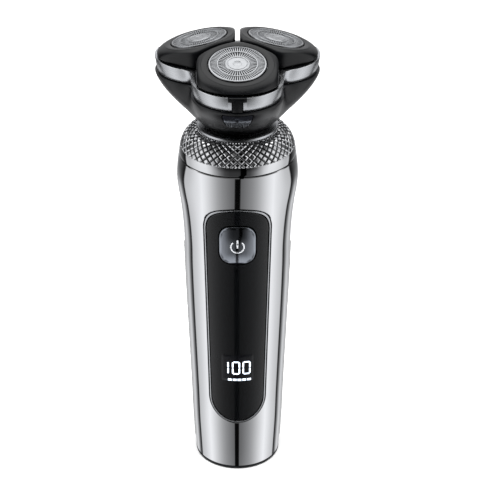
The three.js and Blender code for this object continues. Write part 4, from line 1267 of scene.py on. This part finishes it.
# ------------------------------------------------------------------ stage
# Brightness round the light tent: (degrees from the front, level) at three heights.
TENT_LOW = ((0, .12), (10, .15), (20, .21), (30, .28), (40, .38), (50, .52), (60, .68), (70, .84),
            (78, .94), (90, .8), (100, .68), (116, .56), (119, .01), (123, .03), (130, .22),
            (138, .6), (146, .7), (154, .5), (180, .8))
TENT_MIDDLE = ((0, .036), (14, .036), (24, .06), (30, .12), (36, .22), (45, .42), (52, .64), (62, .82),
               (75, .82), (90, .7), (104, .52), (116, .52), (119, .01), (126, .015), (135, .06),
               (150, .16), (165, .4), (180, .7))
TENT_HIGH = ((0, .008), (22, .008), (36, .06), (50, .5), (62, .85), (78, .9), (94, .6), (104, .3),
             (112, .03), (130, .03), (150, .3), (180, .7))


def build_tent(world):
    """A light tent as the backdrop of all reflections: white sides, a dark front, two narrow
    black flags near the sides, one slim black line in front, and bright cloths straight above
    and high at the back. Heights are sines of the elevation."""
    world.use_nodes = True
    tree = world.node_tree
    tree.nodes.clear()
    way = node(tree, "ShaderNodeTexCoord").outputs["Generated"]
    parts = node(tree, "ShaderNodeSeparateXYZ", {}, {0: way}).outputs
    back = node(tree, "ShaderNodeMath", {"operation": "MULTIPLY"}, {0: parts[1], 1: -1.0}).outputs[0]
    round_way = node(tree, "ShaderNodeMath", {"operation": "ARCTAN2"}, {0: parts[0], 1: back}).outputs[0]
    share = node(tree, "ShaderNodeMath", {"operation": "ABSOLUTE"}, {0: round_way}).outputs[0]
    share = node(tree, "ShaderNodeMath", {"operation": "DIVIDE"}, {0: share, 1: math.pi}).outputs[0]
    levels = []
    for stops in (TENT_LOW, TENT_MIDDLE, TENT_HIGH):
        ramp = node(tree, "ShaderNodeValToRGB", {}, {"Fac": share})
        elements = ramp.color_ramp.elements
        elements[0].position, elements[1].position = 0.0, 1.0
        for degrees, level in stops:
            stop = (elements[0] if degrees == 0 else elements[-1] if degrees == 180
                    else elements.new(degrees / 180))
            stop.color = (level, level * 1.005, level * 1.02, 1)
        levels.append(ramp.outputs[0])

    def blended(first, second, low, high):
        amount = node(tree, "ShaderNodeMapRange", {"interpolation_type": "SMOOTHSTEP"}, {
            "Value": parts[2], "From Min": low, "From Max": high}).outputs[0]
        return node(tree, "ShaderNodeMix", {"data_type": "RGBA"}, {
            0: amount, 6: first, 7: second}).outputs[2]

    light = blended(levels[0], levels[1], -0.55, -0.38)
    light = blended(light, levels[2], -0.3, 0.0)
    behind = node(tree, "ShaderNodeMapRange", {"interpolation_type": "SMOOTHSTEP"}, {
        "Value": parts[1], "From Min": 0.0, "From Max": 0.16, "To Min": 0.1, "To Max": 1.5}).outputs[0]
    light = blended(light, behind, 0.5, 0.75)
    light = blended(light, (1, 1, 1, 1), 0.94, 0.99)
    light = blended((0.85, 0.86, 0.88, 1), light, -0.8, -0.67)
    light = blended((0.03, 0.03, 0.035, 1), light, -0.93, -0.84)
    shift = node(tree, "ShaderNodeMapRange", {}, {
        "Value": parts[2], "From Min": -0.559, "From Max": -0.358, "To Min": -0.03,
        "To Max": 0.2}).outputs[0]
    away = node(tree, "ShaderNodeMath", {"operation": "SUBTRACT"}, {0: round_way, 1: shift}).outputs[0]
    away = node(tree, "ShaderNodeMath", {"operation": "ABSOLUTE"}, {0: away}).outputs[0]
    open_share = node(tree, "ShaderNodeMapRange", {}, {
        "Value": away, "From Min": 0.085, "From Max": 0.12, "To Min": 0.02}).outputs[0]
    light = node(tree, "ShaderNodeVectorMath", {"operation": "SCALE"}, {
        0: light, "Scale": open_share}).outputs[0]
    backdrop = node(tree, "ShaderNodeBackground", {}, {"Color": light, "Strength": 1.0})
    node(tree, "ShaderNodeOutputWorld", {}, {"Surface": backdrop.outputs[0]})


def soft_light(name, place, aim, size, power):
    lamp = bpy.data.lights.new(name, "AREA")
    lamp.shape, lamp.size, lamp.size_y, lamp.energy = "RECTANGLE", size[0], size[1], power
    holder = bpy.data.objects.new(name, lamp)
    bpy.context.collection.objects.link(holder)
    holder.visible_glossy = False      # what the shaver mirrors is the tent alone
    holder.location = place
    holder.rotation_euler = (Vector(aim) - Vector(place)).to_track_quat("-Z", "Y").to_euler()
    return holder


class SHAVER_OT_stage(bpy.types.Operator):
    """Pale floor, soft studio light and the camera"""
    bl_idname = "shaver.stage"
    bl_label = "Stage"

    def execute(self, context):
        clear_selection()
        bpy.ops.mesh.primitive_grid_add(x_subdivisions=8, y_subdivisions=8, size=8.0)
        floor = new_piece("floor")
        floor.data.materials.append(surface("Matt painted floor", scene_colours().floor, 0.0, 0.9, (
            ("cloud", 40.0, EVEN, 0.0, 0.004, 0.05),)))
        # The tent's own reflection carries on below the floor, as on a raised glass table.
        floor.visible_glossy = False

        scene = context.scene
        scene.world = bpy.data.worlds.new("Light tent")
        build_tent(scene.world)
        scene.view_settings.view_transform = "Standard"
        soft_light("top_light", (0, -0.2, 1.3), (0, 0, 0.05), (1.2, 1.2), 24)
        for side in (-1, 1):
            soft_light(f"key_{'left' if side < 0 else 'right'}", (side * 0.42, -0.45, 0.75),
                       (0, 0, 0.15), (0.22, 0.3), 1.6)

        view = bpy.data.cameras.new("camera")
        view.lens, view.sensor_width, view.shift_x = 115.2, 36.0, 0.025
        view.clip_start = 0.01
        eye = bpy.data.objects.new("camera", view)
        scene.collection.objects.link(eye)
        eye.location = (0, -0.52, 0.386)
        aim = Vector((0, 0, 0.0896)) - eye.location
        eye.rotation_euler = aim.to_track_quat("-Z", "Y").to_euler()
        scene.camera = eye
        return {"FINISHED"}


OPERATORS = (
    SHAVER_OT_shells, SHAVER_OT_base_cap, SHAVER_OT_collar, SHAVER_OT_panel, SHAVER_OT_button,
    SHAVER_OT_display, SHAVER_OT_head_base, SHAVER_OT_head_frame, SHAVER_OT_pods, SHAVER_OT_guards,
    SHAVER_OT_blades, SHAVER_OT_inner_finishes, SHAVER_OT_stage,
)


class SHAVER_PT_panel(bpy.types.Panel):
    """Lists the shaver's pieces, sizes and colours"""
    bl_idname = "SHAVER_PT_panel"
    bl_label = "Rotary shaver"
    bl_space_type = "VIEW_3D"
    bl_region_type = "UI"
    bl_category = "Shaver"

    def draw(self, context):
        for group in (context.scene.shaver_sizes, context.scene.shaver_colours):
            for name in group.__annotations__:
                self.layout.prop(group, name)
        for operator in OPERATORS:
            self.layout.operator(operator.bl_idname)


CLASSES = (ShaverSizes, ShaverColours) + OPERATORS + (SHAVER_PT_panel,)


def register():
    for entry in CLASSES:
        bpy.utils.register_class(entry)
    bpy.types.Scene.shaver_sizes = bpy.props.PointerProperty(type=ShaverSizes)
    bpy.types.Scene.shaver_colours = bpy.props.PointerProperty(type=ShaverColours)


def unregister():
    del bpy.types.Scene.shaver_colours
    del bpy.types.Scene.shaver_sizes
    for entry in reversed(CLASSES):
        bpy.utils.unregister_class(entry)


def main():
    register()
    for operator in OPERATORS:
        getattr(bpy.ops.shaver, operator.bl_idname.split(".")[1])()
    clear_selection()


if __name__ == "__main__":
    main()
